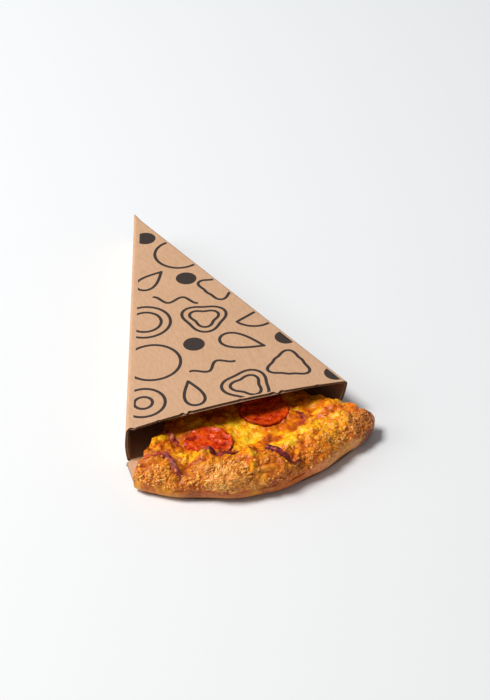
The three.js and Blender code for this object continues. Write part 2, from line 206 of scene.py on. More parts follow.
def crest_z(s):
    return (
        RIM_HEIGHT
        - 4.2 * hump(s, -0.64, 0.1)
        - 3.6 * hump(s, 0.2, 0.09)
        - 0.8 * hump(s, 0.62, 0.12)
        - 3.2 * np.abs(s) ** 5
        - 2.8 * smooth(s * 1.1)
        + 0.4 * np.sin(s * 13 + 2)
    )


def ramp(s):
    return RAMP + END_RAMP * smooth((np.abs(s) - 0.55) / 0.45)


def cheese_r(s):
    return (
        crest_r(s)
        - 8.0
        - 3.2 * smooth((s - 0.45) / 0.4)
        + 12 * hump(s, -0.66, 0.12)
        + 14.5 * hump(s, 0.2, 0.13)
        + 1.0 * np.sin(s * 14 + 1.7)
    )


def dough_top(s, rho):
    peak = crest_z(s)
    out = (rho - crest_r(s)) / (nose_r(s) - crest_r(s))
    over = mix(RIM_MID, peak, np.sqrt(np.clip(1 - out * out, 0, 1)) ** 0.9)
    foot = crest_r(s) - ramp(s)
    base = FLOOR + BASE + 0.35 * np.sin(rho * 0.11 + s * 4) * smooth(rho / 30)
    return np.where(out > 0, over, mix(base, peak, smooth((rho - foot) / ramp(s))))


def cheese_thick(x, y):
    return (
        CHEESE
        + 0.55 * np.sin(x * 0.19 + 1.3) * np.sin(y * 0.23 + 0.4)
        + 0.35 * np.sin(x * 0.41 - y * 0.33 + 2.1)
    )


# ------------------------------------------------------------------ meshes
def link_piece(name, mesh, replaced=()):
    ob = bpy.data.objects.new(name, mesh)
    bpy.context.scene.collection.objects.link(ob)
    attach(ob, ROOT)
    if replaced:
        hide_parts(*replaced)
    return ob


def clean(faces):
    """Faces as index tuples, without repeated corners, and without faces that have none left."""
    out = []
    for f in faces:
        g = [v for k, v in enumerate(f) if v != f[k - 1]]
        if len(set(g)) >= 3:
            out.append(g)
    return out


def make_mesh(name, verts, faces, sharp=None, flat=False):
    me = bpy.data.meshes.new(name)
    me.from_pydata(metres(verts).tolist(), [], faces)
    me.validate(clean_customdata=False)
    if flat:
        me.shade_flat()
    else:
        me.shade_smooth()
        if sharp:
            me.set_sharp_from_angle(angle=math.radians(sharp))
    return me


def colour_layer(me, name, rgb):
    layer = me.color_attributes.new(name, "FLOAT_COLOR", "POINT")
    data = np.ones((len(me.vertices), 4), np.float32)
    data[:, : rgb.shape[1]] = rgb
    layer.data.foreach_set("color", data.ravel())


def grid_faces(idx, flip=False):
    a, b, c, d = idx[:-1, :-1], idx[1:, :-1], idx[1:, 1:], idx[:-1, 1:]
    q = np.stack([a, d, c, b] if flip else [a, b, c, d], -1).reshape(-1, 4)
    return q.tolist()


def vertex_normals(verts, faces):
    """Area-weighted normals of a mesh given as lists."""
    n = np.zeros_like(verts)
    quads = np.array([f for f in faces if len(f) == 4])
    tris = np.array([f for f in faces if len(f) == 3])
    if len(quads):
        c = np.cross(verts[quads[:, 2]] - verts[quads[:, 0]], verts[quads[:, 3]] - verts[quads[:, 1]])
        for k in range(4):
            np.add.at(n, quads[:, k], c)
    if len(tris):
        c = np.cross(verts[tris[:, 1]] - verts[tris[:, 0]], verts[tris[:, 2]] - verts[tris[:, 0]])
        for k in range(3):
            np.add.at(n, tris[:, k], c)
    return n / np.maximum(np.linalg.norm(n, axis=1), 1e-12)[:, None]


class Slab:
    """A closed body over a grid of columns (i) and rows (k), between a top and a bottom sheet.

    The two sheets meet at the last row if `shut` is set. Sides get `layers` rows of their own.
    The bottom keeps only every `coarse`-th point each way.
    """

    def __init__(self, top, bottom, layers, shut, coarse=1):
        n, m = top.shape[:2]
        near = lambda count: np.minimum((np.arange(count) + coarse // 2) // coarse * coarse, count - 1)
        self.n, self.m, self.w = n, m, layers
        self.verts = [top.reshape(-1, 3)]
        self.count = n * m
        self.top = np.arange(n * m).reshape(n, m)
        if shut:
            low = bottom[:, :-1]
            ids = self.take(low.reshape(-1, 3)).reshape(n, m - 1)[np.ix_(near(n), near(m - 1))]
            self.bottom = np.concatenate([ids, self.top[:, -1:]], 1)
        else:
            self.bottom = self.take(bottom.reshape(-1, 3)).reshape(n, m)[np.ix_(near(n), near(m))]
        self.faces = grid_faces(self.top, True) + grid_faces(self.bottom, False)
        # the four sides as grids (along, up)
        self.side = {}

        def wall(low, high, lo_ids, hi_ids, ends):
            inner = [mix(low, high, (j + 1) / layers) for j in range(layers - 1)]
            ids = [lo_ids] + [self.take(p) for p in inner] + [hi_ids]
            ids = np.stack(ids, 1)
            for at, given in ends.items():
                ids[at] = given
            return ids

        lo_p, hi_p = bottom.copy(), top
        if shut:
            lo_p[:, -1] = top[:, -1]
        point = lambda ids, j: np.full(layers + 1, ids[j])
        shut_end = {-1: None}
        left = wall(lo_p[0], hi_p[0], self.bottom[0], self.top[0], {})
        right = wall(lo_p[-1], hi_p[-1], self.bottom[-1], self.top[-1], {})
        if shut:
            left[-1] = self.top[0, -1]
            right[-1] = self.top[-1, -1]
        tip = wall(lo_p[:, 0], hi_p[:, 0], self.bottom[:, 0], self.top[:, 0], {0: left[0], -1: right[0]})
        self.faces += grid_faces(left, False) + grid_faces(right, True) + grid_faces(tip, True)
        self.side = {"left": left, "right": right, "tip": tip}
        if not shut:
            end = wall(lo_p[:, -1], hi_p[:, -1], self.bottom[:, -1], self.top[:, -1], {0: left[-1], -1: right[-1]})
            self.faces += grid_faces(end, False)
            self.side["end"] = end
        self.verts = np.concatenate(self.verts)
        self.faces = clean(self.faces)
        used = np.unique(np.concatenate([np.array(f) for f in self.faces]))
        again = np.full(len(self.verts), -1)
        again[used] = np.arange(len(used))
        self.verts = self.verts[used]
        self.faces = [[int(again[v]) for v in f] for f in self.faces]
        self.top, self.bottom = again[self.top], again[self.bottom]
        self.side = {k: again[v] for k, v in self.side.items()}

    def take(self, pts):
        ids = np.arange(self.count, self.count + len(pts))
        self.count += len(pts)
        self.verts.append(pts)
        return ids


# ------------------------------------------------------------------ materials
class Paint:
    """A Principled material and short ways to build its nodes."""

    def __init__(self, name, roughness=0.6, ior=None, **shader):
        self.mat = bpy.data.materials.new(name)
        self.mat.use_nodes = True
        self.tree = self.mat.node_tree
        self.tree.nodes.clear()
        self.out = self.add("ShaderNodeOutputMaterial")
        self.bsdf = self.add("ShaderNodeBsdfPrincipled")
        self.join(self.bsdf.outputs["BSDF"], self.out.inputs["Surface"])
        self.bsdf.inputs["Roughness"].default_value = roughness
        for key, value in shader.items():
            self.bsdf.inputs[key.replace("_", " ")].default_value = value
        self.coord = self.add("ShaderNodeTexCoord").outputs["Object"]

    def add(self, kind):
        return self.tree.nodes.new(kind)

    def join(self, a, b):
        self.tree.links.new(a, b)

    def put(self, socket, value):
        if isinstance(value, bpy.types.NodeSocket):
            self.join(value, socket)
        else:
            socket.default_value = value

    def stretched(self, scale):
        n = self.add("ShaderNodeMapping")
        n.inputs["Scale"].default_value = scale
        self.join(self.coord, n.inputs["Vector"])
        return n.outputs["Vector"]

    def noise(self, mm, detail=3.0, rough=0.55, warp=0.0, vector=None, seed=0.0):
        n = self.add("ShaderNodeTexNoise")
        n.noise_dimensions = "4D"
        n.inputs["W"].default_value = seed
        n.inputs["Scale"].default_value = 1000.0 / mm
        n.inputs["Detail"].default_value = detail
        n.inputs["Roughness"].default_value = rough
        n.inputs["Distortion"].default_value = warp
        self.join(vector or self.coord, n.inputs["Vector"])
        return n.outputs["Fac"]

    def cells(self, mm, feature="F1", vector=None, randomness=1.0):
        n = self.add("ShaderNodeTexVoronoi")
        n.feature = feature
        n.inputs["Scale"].default_value = 1000.0 / mm
        n.inputs["Randomness"].default_value = randomness
        self.join(vector or self.coord, n.inputs["Vector"])
        return n.outputs["Distance"]

    def ramp(self, fac, stops, interpolation="EASE"):
        n = self.add("ShaderNodeValToRGB")
        n.color_ramp.interpolation = interpolation
        e = n.color_ramp.elements
        while len(e) < len(stops):
            e.new(0.5)
        for k, (at, colour) in enumerate(stops):
            e[k].position = at
            c = colour if isinstance(colour, (tuple, list)) else (colour,) * 3
            e[k].color = (*c[:3], 1.0)
        self.join(fac, n.inputs["Fac"])
        return n.outputs["Color"]

    def span(self, value, a, b, lo=0.0, hi=1.0):
        n = self.add("ShaderNodeMapRange")
        n.clamp = True
        self.join(value, n.inputs["Value"])
        n.inputs["From Min"].default_value, n.inputs["From Max"].default_value = a, b
        n.inputs["To Min"].default_value, n.inputs["To Max"].default_value = lo, hi
        return n.outputs["Result"]

    def blend(self, fac, a, b, how="MIX"):
        n = self.add("ShaderNodeMix")
        n.data_type, n.blend_type = "RGBA", how
        self.put(n.inputs[0], fac)
        for socket, value in ((n.inputs[6], a), (n.inputs[7], b)):
            if isinstance(value, (tuple, list)):
                value = (*value[:3], 1.0)
            self.put(socket, value)
        return n.outputs[2]

    def math(self, how, a, b=0.0, clamp=False):
        n = self.add("ShaderNodeMath")
        n.operation, n.use_clamp = how, clamp
        self.put(n.inputs[0], a)
        self.put(n.inputs[1], b)
        return n.outputs[0]

    def layer(self, name):
        n = self.add("ShaderNodeVertexColor")
        n.layer_name = name
        s = self.add("ShaderNodeSeparateColor")
        self.join(n.outputs["Color"], s.inputs["Color"])
        return n.outputs["Color"], s.outputs["Red"], s.outputs["Green"], s.outputs["Blue"]

    def bump(self, height, depth_mm, strength=1.0, over=None):
        n = self.add("ShaderNodeBump")
        n.inputs["Strength"].default_value = strength
        n.inputs["Distance"].default_value = depth_mm * 0.001
        self.join(height, n.inputs["Height"])
        if over is not None:
            self.join(over, n.inputs["Normal"])
        return n.outputs["Normal"]

    def finish(self, colour=None, roughness=None, normal=None):
        if colour is not None:
            self.join(colour, self.bsdf.inputs["Base Color"])
        if roughness is not None:
            self.join(roughness, self.bsdf.inputs["Roughness"])
        if normal is not None:
            self.join(normal, self.bsdf.inputs["Normal"])
        return self.mat


def kraft_paint(name, base, dark, light, ribs):
    p = Paint(name, 0.82)
    fine = p.noise(0.55, 2.0, 0.7)
    fibre = p.noise(1.6, 4.0, 0.65, vector=p.stretched((1.0, 0.28, 1.0)), seed=3.0)
    cloud = p.noise(22.0, 3.0, 0.5, seed=7.0)
    col = p.blend(p.span(fibre, 0.3, 0.7), dark, base)
    col = p.blend(p.span(fine, 0.52, 0.8, 0.0, 0.55), col, light)
    col = p.blend(p.span(cloud, 0.3, 0.75, 0.0, 0.22), col, dark)
    speck = p.span(p.noise(0.9, 1.0, 0.5, seed=11.0), 0.68, 0.75)
    col = p.blend(p.math("MULTIPLY", speck, 0.45), col, tuple(c * 0.45 for c in base))
    height = p.math("ADD", fine, fibre)
    normal = p.bump(height, 0.05, 0.6)
    if ribs:
        wave = p.add("ShaderNodeTexWave")
        wave.wave_type, wave.bands_direction = "BANDS", "Y"
        wave.inputs["Scale"].default_value = 1000.0 / 3.2 / (2 * math.pi) * 2
        wave.inputs["Distortion"].default_value = 0.4
        p.join(p.coord, wave.inputs["Vector"])
        normal = p.bump(wave.outputs["Fac"], 0.03, 0.35, normal)
    return p.finish(col, p.span(fibre, 0.2, 0.8, 0.74, 0.92), normal)


def ink_paint():
    p = Paint("printed_ink", 0.6)
    a = p.noise(0.7, 3.0, 0.7, seed=2.0)
    b = p.noise(9.0, 2.0, 0.5, seed=5.0)
    col = p.ramp(a, [(0.25, (0.031, 0.017, 0.012)), (0.6, (0.040, 0.024, 0.018)), (0.85, (0.078, 0.050, 0.036))])
    col = p.blend(p.span(b, 0.4, 0.7, 0.0, 0.35), col, (0.030, 0.023, 0.022))
    return p.finish(col, p.span(a, 0.2, 0.8, 0.5, 0.8), p.bump(a, 0.03, 0.5))


def crust_paint():
    """Colour layer "tone" is the baked colour, with painted shade in crevices, hollows and between grains and painted
    light on the lower right side; "mask" says where bread is cut open (red).
    """
    p = Paint("baked_crust", 0.5, Specular_IOR_Level=0.26, Subsurface_Weight=0.12, Subsurface_Scale=0.0015, Subsurface_Radius=(1.0, 0.35, 0.1))
    tone, _, _, _ = p.layer("tone")
    _, inside, shine, _ = p.layer("mask")
    big = p.noise(5.0, 4.0, 0.6, 0.5, seed=1.0)
    mid = p.noise(1.9, 4.0, 0.65, 0.3, seed=4.0)
    fine = p.noise(0.6, 3.0, 0.65, seed=9.0)
    col = p.blend(p.span(mid, 0.34, 0.58, 0.75, 0.0), tone, (0.62, 0.36, 0.30), "MULTIPLY")
    col = p.blend(p.span(big, 0.5, 0.72, 0.0, 0.4), col, (0.80, 0.29, 0.020))
    col = p.blend(p.span(fine, 0.56, 0.78, 0.0, 0.45), col, (0.90, 0.44, 0.070))
    col = p.blend(p.span(fine, 0.22, 0.42, 0.65, 0.0), col, (0.50, 0.28, 0.25), "MULTIPLY")
    # the bread inside, pale, with its pores darkened: painted shade in the holes
    pores = p.cells(2.2, vector=p.coord)
    crumb = p.ramp(pores, [(0.1, (0.58, 0.36, 0.16)), (0.4, (0.80, 0.60, 0.34)), (0.8, (0.86, 0.69, 0.44))])
    crumb = p.blend(p.span(mid, 0.4, 0.75, 0.0, 0.5), crumb, (0.74, 0.48, 0.22))
    col = p.blend(inside, col, crumb)
    height = p.math("ADD", p.math("MULTIPLY", fine, 0.5), mid)
    normal = p.bump(height, 0.3, 0.8)
    rough = p.blend(inside, p.span(mid, 0.3, 0.7, 0.24, 0.5), (0.85, 0.85, 0.85))
    return p.finish(col, rough, normal)


def cheese_paint():
    """Colour layer "tone" is the melted colour, with painted shade in the creases and under the sleeve's top."""
    p = Paint(
        "melted_cheese",
        0.34,
        Specular_IOR_Level=0.3,
        Subsurface_Weight=0.10,
        Subsurface_Scale=0.002,
        Subsurface_Radius=(1.0, 0.4, 0.1),
    )
    tone, _, _, _ = p.layer("tone")
    mid = p.noise(3.0, 3.0, 0.55, 0.6, seed=6.0)
    fine = p.noise(0.8, 2.0, 0.6, seed=8.0)
    col = p.blend(p.span(mid, 0.34, 0.56, 0.45, 0.0), tone, (0.68, 0.14, 0.006))
    col = p.blend(p.span(mid, 0.58, 0.78, 0.0, 0.4), col, (0.97, 0.58, 0.020))
    col = p.blend(p.span(fine, 0.64, 0.84, 0.0, 0.25), col, (0.98, 0.66, 0.08))
    col = p.blend(p.span(fine, 0.2, 0.34, 0.5, 0.0), col, (0.70, 0.42, 0.30), "MULTIPLY")
    rough = p.span(mid, 0.3, 0.7, 0.18, 0.4)
    normal = p.bump(p.math("ADD", p.math("MULTIPLY", fine, 0.6), mid), 0.4, 0.8)
    return p.finish(col, rough, normal)


def sauce_paint():
    p = Paint("tomato_sauce", 0.35, Specular_IOR_Level=0.4)
    a = p.noise(2.2, 4.0, 0.65, 0.4, seed=1.0)
    col = p.ramp(a, [(0.3, (0.26, 0.022, 0.006)), (0.5, (0.46, 0.055, 0.010)), (0.75, (0.66, 0.15, 0.018))])
    return p.finish(col, p.span(a, 0.3, 0.7, 0.25, 0.5), p.bump(a, 0.3, 0.7))


def pepperoni_paint(name, shade):
    """Colour layer: red is the dark rim and painted shade (fold valleys, the rim's lower side, the near edge's shadow),
    green the fatty orange, strongest on the fold ridges as a painted highlight.
    """
    p = Paint(name, 0.3, Specular_IOR_Level=0.34, Subsurface_Weight=0.05, Subsurface_Scale=0.0015, Subsurface_Radius=(1.0, 0.2, 0.1))
    _, dark, fat, _ = p.layer("tone")
    mid = p.noise(3.4, 3.0, 0.55, 0.8, seed=3.0)
    fine = p.noise(0.9, 3.0, 0.6, seed=5.0)
    base = p.ramp(mid, [(0.32, (0.38 * shade, 0.007, 0.002)), (0.5, (0.62 * shade, 0.026, 0.002)), (0.7, (0.84 * shade, 0.085, 0.005))])
    base = p.blend(p.math("MULTIPLY", fat, p.span(mid, 0.34, 0.68, 0.0, 0.9)), base, (0.88, 0.115, 0.004))
    spot = p.span(p.cells(2.6), 0.12, 0.26, 1.0, 0.0)
    spot = p.math("MULTIPLY", spot, p.span(fine, 0.45, 0.6))
    base = p.blend(p.math("MULTIPLY", spot, 0.5), base, (0.92, 0.24, 0.035))
    base = p.blend(p.span(fine, 0.25, 0.42, 0.4, 0.0), base, (0.26, 0.006, 0.004))
    base = p.blend(dark, base, (0.13, 0.004, 0.005))
    return p.finish(base, p.span(mid, 0.3, 0.7, 0.14, 0.35), p.bump(p.math("ADD", fine, mid), 0.35, 0.8))


def onion_paint():
    """Colour layer: red is how deep the purple is, green the browned places."""
    p = Paint("red_onion", 0.4, Specular_IOR_Level=0.25, Subsurface_Weight=0.1, Subsurface_Scale=0.0015, Subsurface_Radius=(1.0, 0.3, 0.4))
    _, deep, brown, _ = p.layer("tone")
    lines = p.noise(1.3, 3.0, 0.6, 0.3, vector=p.stretched((1.0, 1.0, 2.4)), seed=2.0)
    a = p.math("ADD", p.math("MULTIPLY", deep, 0.85), p.math("MULTIPLY", p.math("SUBTRACT", lines, 0.5), 0.5))
    col = p.ramp(a, [(0.1, (0.66, 0.24, 0.11)), (0.32, (0.40, 0.065, 0.045)), (0.55, (0.17, 0.013, 0.022)), (0.85, (0.055, 0.004, 0.014))])
    col = p.blend(p.math("MULTIPLY", brown, 0.88), col, (0.58, 0.078, 0.010))
    return p.finish(col, p.span(lines, 0.3, 0.7, 0.3, 0.6), p.bump(lines, 0.25, 0.7))


def grain_paint(name):
    p = Paint(name, 0.28, Specular_IOR_Level=0.5)
    colour, _, _, _ = p.layer("tone")
    a = p.noise(0.5, 2.0, 0.6, seed=3.0)
    col = p.blend(p.span(a, 0.3, 0.7, 0.0, 0.5), colour, (0.55, 0.17, 0.015))
    return p.finish(col, p.span(a, 0.3, 0.7, 0.16, 0.4), p.bump(a, 0.1, 0.6))


def floor_paint():
    p = Paint("pale_table", 0.75, Specular_IOR_Level=0.2)
    # a sweep of white paper, greyer towards the right and towards the front: painted shade for the light's falloff
    n = p.add("ShaderNodeSeparateXYZ")
    p.join(p.coord, n.inputs["Vector"])
    across = p.math("ADD", n.outputs["X"], p.math("MULTIPLY", n.outputs["Y"], -0.42))
    away = p.math("ADD", n.outputs["Y"], p.math("MULTIPLY", n.outputs["X"], 0.35))
    shade = p.math("ADD", p.span(across, -0.45, 0.45, 0.05, 0.38), p.span(away, -0.35, 0.55, 1.5, 0.0))
    grain = p.noise(60.0, 3.0, 0.5)
    level = p.math("MULTIPLY", p.math("ADD", shade, p.math("MULTIPLY", p.math("SUBTRACT", grain, 0.5), 0.02)), 0.5)
    col = p.ramp(level, [(0.0, (0.848, 0.858, 0.876)), (1.0, (0.802, 0.801, 0.800))], "LINEAR")
    return p.finish(col, p.span(grain, 0.3, 0.7, 0.72, 0.8))


# ------------------------------------------------------------------ camera, light and table
def studio():
    scene = bpy.context.scene
    scene.view_settings.view_transform = "Standard"
    scene.view_settings.look = "None"
    scene.view_settings.exposure = 0.0
    cam = bpy.data.objects.new("camera", bpy.data.cameras.new("camera"))
    scene.collection.objects.link(cam)
    cam.data.lens = 99.98
    cam.data.sensor_width = 36.0
    cam.data.clip_start, cam.data.clip_end = 0.05, 50.0
    eye = Vector(metres([-316.1, -1144.8, 832.5]))
    aim = Vector(metres([34.4, -148.1, 0.0]))
    cam.location = eye
    cam.rotation_mode = "QUATERNION"
    cam.rotation_quaternion = (aim - eye).to_track_quat("-Z", "Y")
    scene.camera = cam

    floor = bpy.data.meshes.new("table_top")
    r = 6.0
    floor.from_pydata([(-r, -r, 0), (r, -r, 0), (r, r, 0), (-r, r, 0)], [], [(0, 1, 2, 3)])
    table = bpy.data.objects.new("table_top", floor)
    table.location.z = -0.0002
    floor.materials.append(floor_paint())
    scene.collection.objects.link(table)
    table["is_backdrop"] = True

    world = bpy.data.worlds.new("room")
    scene.world = world
    world.use_nodes = True
    back = world.node_tree.nodes["Background"]
    back.inputs["Color"].default_value = (0.90, 0.96, 1.0, 1.0)
    back.inputs["Strength"].default_value = 0.20

    # a soft light high on the left, and a weaker, wider one low on the same side
    for name, place, size, energy in (
        ("key", (-1.66, 0.30, 2.90), 1.25, 108.0),
        ("low_key", (-2.40, 0.62, 1.35), 1.6, 22.0),
    ):
        light = bpy.data.lights.new(name, "AREA")
        light.shape = "DISK"
        light.size = size
        light.energy = energy
        light.color = (1.0, 0.995, 0.985)
        lamp = bpy.data.objects.new(name, light)
        lamp.location = place
        lamp.rotation_mode = "QUATERNION"
        lamp.rotation_quaternion = (Vector((0.0, -0.02, 0.0)) - lamp.location).to_track_quat("-Z", "Y")
        scene.collection.objects.link(lamp)


# ------------------------------------------------------------------ the sleeve
def sleeve_section(back, inset):
    """Points round one cross-section: right foot fold, right wall, top right fold, top left fold,
    left wall, left foot fold. Returns (x, z) and the half width of the flat top."""
    share = back / MOUTH
    top = back * TAN - inset / math.cos(SLEEVE_ANGLE / 2)
    left, right_foot = -top, top - WALL_LEAN * share
    r = max(0.25, min(FOLD_R - inset * 0.9, top * 0.8))
    z0, z1 = inset, SLEEVE_HEIGHT - inset
    bulge = WALL_BULGE * share * float(smooth(share * 2))
    pts = []

    def arc(cx, cz, start):
        for k in range(7):
            a = start + k / 6 * math.pi / 2
            pts.append((cx + r * math.cos(a), cz + r * math.sin(a)))

    arc(right_foot - r, z0 + r, -math.pi / 2)
    for k in range(1, 8):
        t = k / 8
        pts.append((mix(right_foot, top, t) + bulge * 4 * t * (1 - t), mix(z0 + r, z1 - r, t)))
    arc(top - r, z1 - r, 0)
    corner = len(pts)  # the flat top goes in here
    arc(left + r, z1 - r, math.pi / 2)
    for k in range(1, 8):
        t = k / 8
        pts.append((left - bulge * 4 * t * (1 - t), mix(z1 - r, z0 + r, t)))
    arc(left + r, z0 + r, math.pi)
    return np.array(pts), corner, top - r


def mouth_recess(x, z):
    on_top = smooth((z - (SLEEVE_HEIGHT - 6)) / 4)
    return MOUTH_RECESS * on_top * np.maximum(0, 1 - (x / (MOUTH * TAN)) ** 2)


def mouth_rag(x):
    """Small torn nicks along the top panel's front edge, left by the tabs that held it."""
    rag = 0.10 * perlin(np.stack([x / 1.3, x * 0, x * 0], 1), 61) + 0.06 * perlin(np.stack([x / 0.5, x * 0, x * 0], 1), 62)
    for at, wide, deep in ((-72.5, 2.2, 1.4), (-70.0, 0.9, -0.9), (-37.2, 1.4, 1.0), (-32.6, 1.7, 0.8), (-35.0, 1.1, -1.5), (24.4, 1.5, 0.8), (30.4, 1.5, 0.8), (27.4, 1.3, -1.4), (2.0, 1.0, 0.5), (55.0, 1.4, 0.5), (-54.0, 1.0, 0.5)):
        rag = rag + deep * hump(x, at, wide)
    return rag


def top_z(x, y):
    back = np.clip(-y, 0.5, MOUTH)
    share = back / MOUTH
    half = np.maximum(back * TAN - FOLD_R, 0.5)
    return SLEEVE_HEIGHT + TOP_BOW * share**2 * np.clip(1 - (x / half) ** 2, 0, 1)


# -- the print: simple shapes, drawn as outlines with an even line or filled
def circle(r, n=56):
    a = np.linspace(0, 2 * math.pi, n, endpoint=False)
    return np.stack([r * np.cos(a), r * np.sin(a)], 1)


def lobed(r, lobes, depth, n=84):
    a = np.linspace(0, 2 * math.pi, n, endpoint=False)
    rr = r * (1 + depth * np.cos(lobes * a))
    return np.stack([rr * np.cos(a), rr * np.sin(a)], 1)


def drop(length, wide, n=60):
    a = np.linspace(0, 2 * math.pi, n, endpoint=False)
    return np.stack([length * 0.5 * np.cos(a), wide * 0.5 * np.sin(a) * np.sin(a / 2) ** 1.3], 1)


def half_moon(r, n=44):
    a = np.linspace(0, math.pi, n)
    arc = np.stack([r * np.cos(a), r * np.sin(a)], 1)
    line = np.stack([np.linspace(-r, r, 16)[1:-1], np.zeros(14)], 1)
    return np.concatenate([arc, line])


def soft_triangle(r, n=78):
    a = np.linspace(0, 2 * math.pi, n, endpoint=False)
    rr = r * (0.80 + 0.16 * np.cos(3 * a) + 0.05 * np.cos(6 * a))
    return np.stack([rr * np.cos(a), rr * np.sin(a)], 1)


def wave(length, high, turns, n=52):
    t = np.linspace(-0.5, 0.5, n)
    return np.stack([length * t, high * np.sin(t * turns * 2 * math.pi)], 1)


LINE = 2.2
# kind, centre x, y, turn in degrees
PRINT = [
    ("dot", -1.5, -33.5, 0, 1.0),
    ("ring", 15.0, -60.0, 0, 1.35),
    ("dot", 11.0, -90.0, 0, 1.0),
    ("drop", -13.5, -84.0, 35, 0.95),
    ("wave", -4.0, -112.0, -20, 1.0),
    ("tri", 29.0, -107.0, 20, 1.05),
    ("rings", -31.0, -129.0, 0, 1.15),
    ("pepper", 8.5, -138.0, 15, 1.1),
    ("moon", 42.0, -143.0, 205, 1.15),
    ("dot", -7.5, -164.0, 0, 1.0),
    ("ring", -39.5, -173.0, 0, 1.5),
    ("drop", 24.0, -172.0, -35, 1.15),
    ("dot", 53.5, -176.0, 0, 1.0),
    ("wave", -3.5, -191.0, 14, 1.0),
    ("tri", 45.0, -205.0, 70, 1.1),
    ("small_ring", -57.5, -211.0, 0, 2.3),
    ("drop", -24.5, -213.5, 86, 0.95),
    ("pepper", 11.5, -218.0, 50, 1.15),
    ("dot", 71.0, -223.0, 0, 1.0),
]


def print_shapes():
    """Each shape is (outlines to draw, test) where the test says which points are inked."""
    out = []

    def stroke(line, closed):
        t = np.roll(line, -1, 0) - np.roll(line, 1, 0)
        if not closed:
            t[0], t[-1] = line[1] - line[0], line[-1] - line[-2]
        t /= np.maximum(np.linalg.norm(t, axis=1), 1e-9)[:, None]
        n = np.stack([-t[:, 1], t[:, 0]], 1) * LINE / 2
        if closed:
            loops = [line + n, line - n]
        else:
            cap = []
            for end, way in ((line[-1], t[-1]), (line[0], -t[0])):
                side = np.array([-way[1], way[0]])
                cap.append([end + (side * math.cos(b) + way * math.sin(b)) * LINE / 2 for b in np.linspace(0, math.pi, 7)[1:-1]])
            loops = [np.concatenate([line + n, np.array(cap[0]), (line - n)[::-1], np.array(cap[1])])]

        def inked(p):
            a = line
            b = np.roll(line, -1, 0) if closed else line[1:]
            a = a if closed else line[:-1]
            d = b - a
            best = np.full(len(p), 1e9)
            for u, v in zip(a, d):
                w = p - u
                k = np.clip((w @ v) / max(v @ v, 1e-12), 0, 1)
                best = np.minimum(best, np.hypot(*(w - k[:, None] * v).T))
            return best < LINE / 2

        return loops, inked

    for kind, x, y, turn, size in PRINT:
        c, s = math.cos(math.radians(turn)), math.sin(math.radians(turn))
        put = lambda line: line @ np.array([[c, s], [-s, c]]) + [x, y]
        if kind == "dot":
            line = put(circle(7.3))
            out.append(([line], lambda p, x=x, y=y: np.hypot(p[:, 0] - x, p[:, 1] - y) < 7.3))
            continue
        lines = {
            "ring": [(circle(12.5), True)],
            "rings": [(circle(15.0), True), (circle(9.5), True)],
            "small_ring": [(circle(6.2), True), (circle(2.6, 30), True)],
            "drop": [(drop(27, 19), True)],
            "moon": [(half_moon(13.5), True)],
            "pepper": [(lobed(13.0, 3, 0.14), True), (lobed(8.2, 3, 0.2), True)],
            "tri": [(soft_triangle(14.0), True)],
            "wave": [(wave(30, 3.4, 1.5), False)],
        }[kind]
        for line, closed in lines:
            out.append(stroke(put(line * size), closed))
    return out


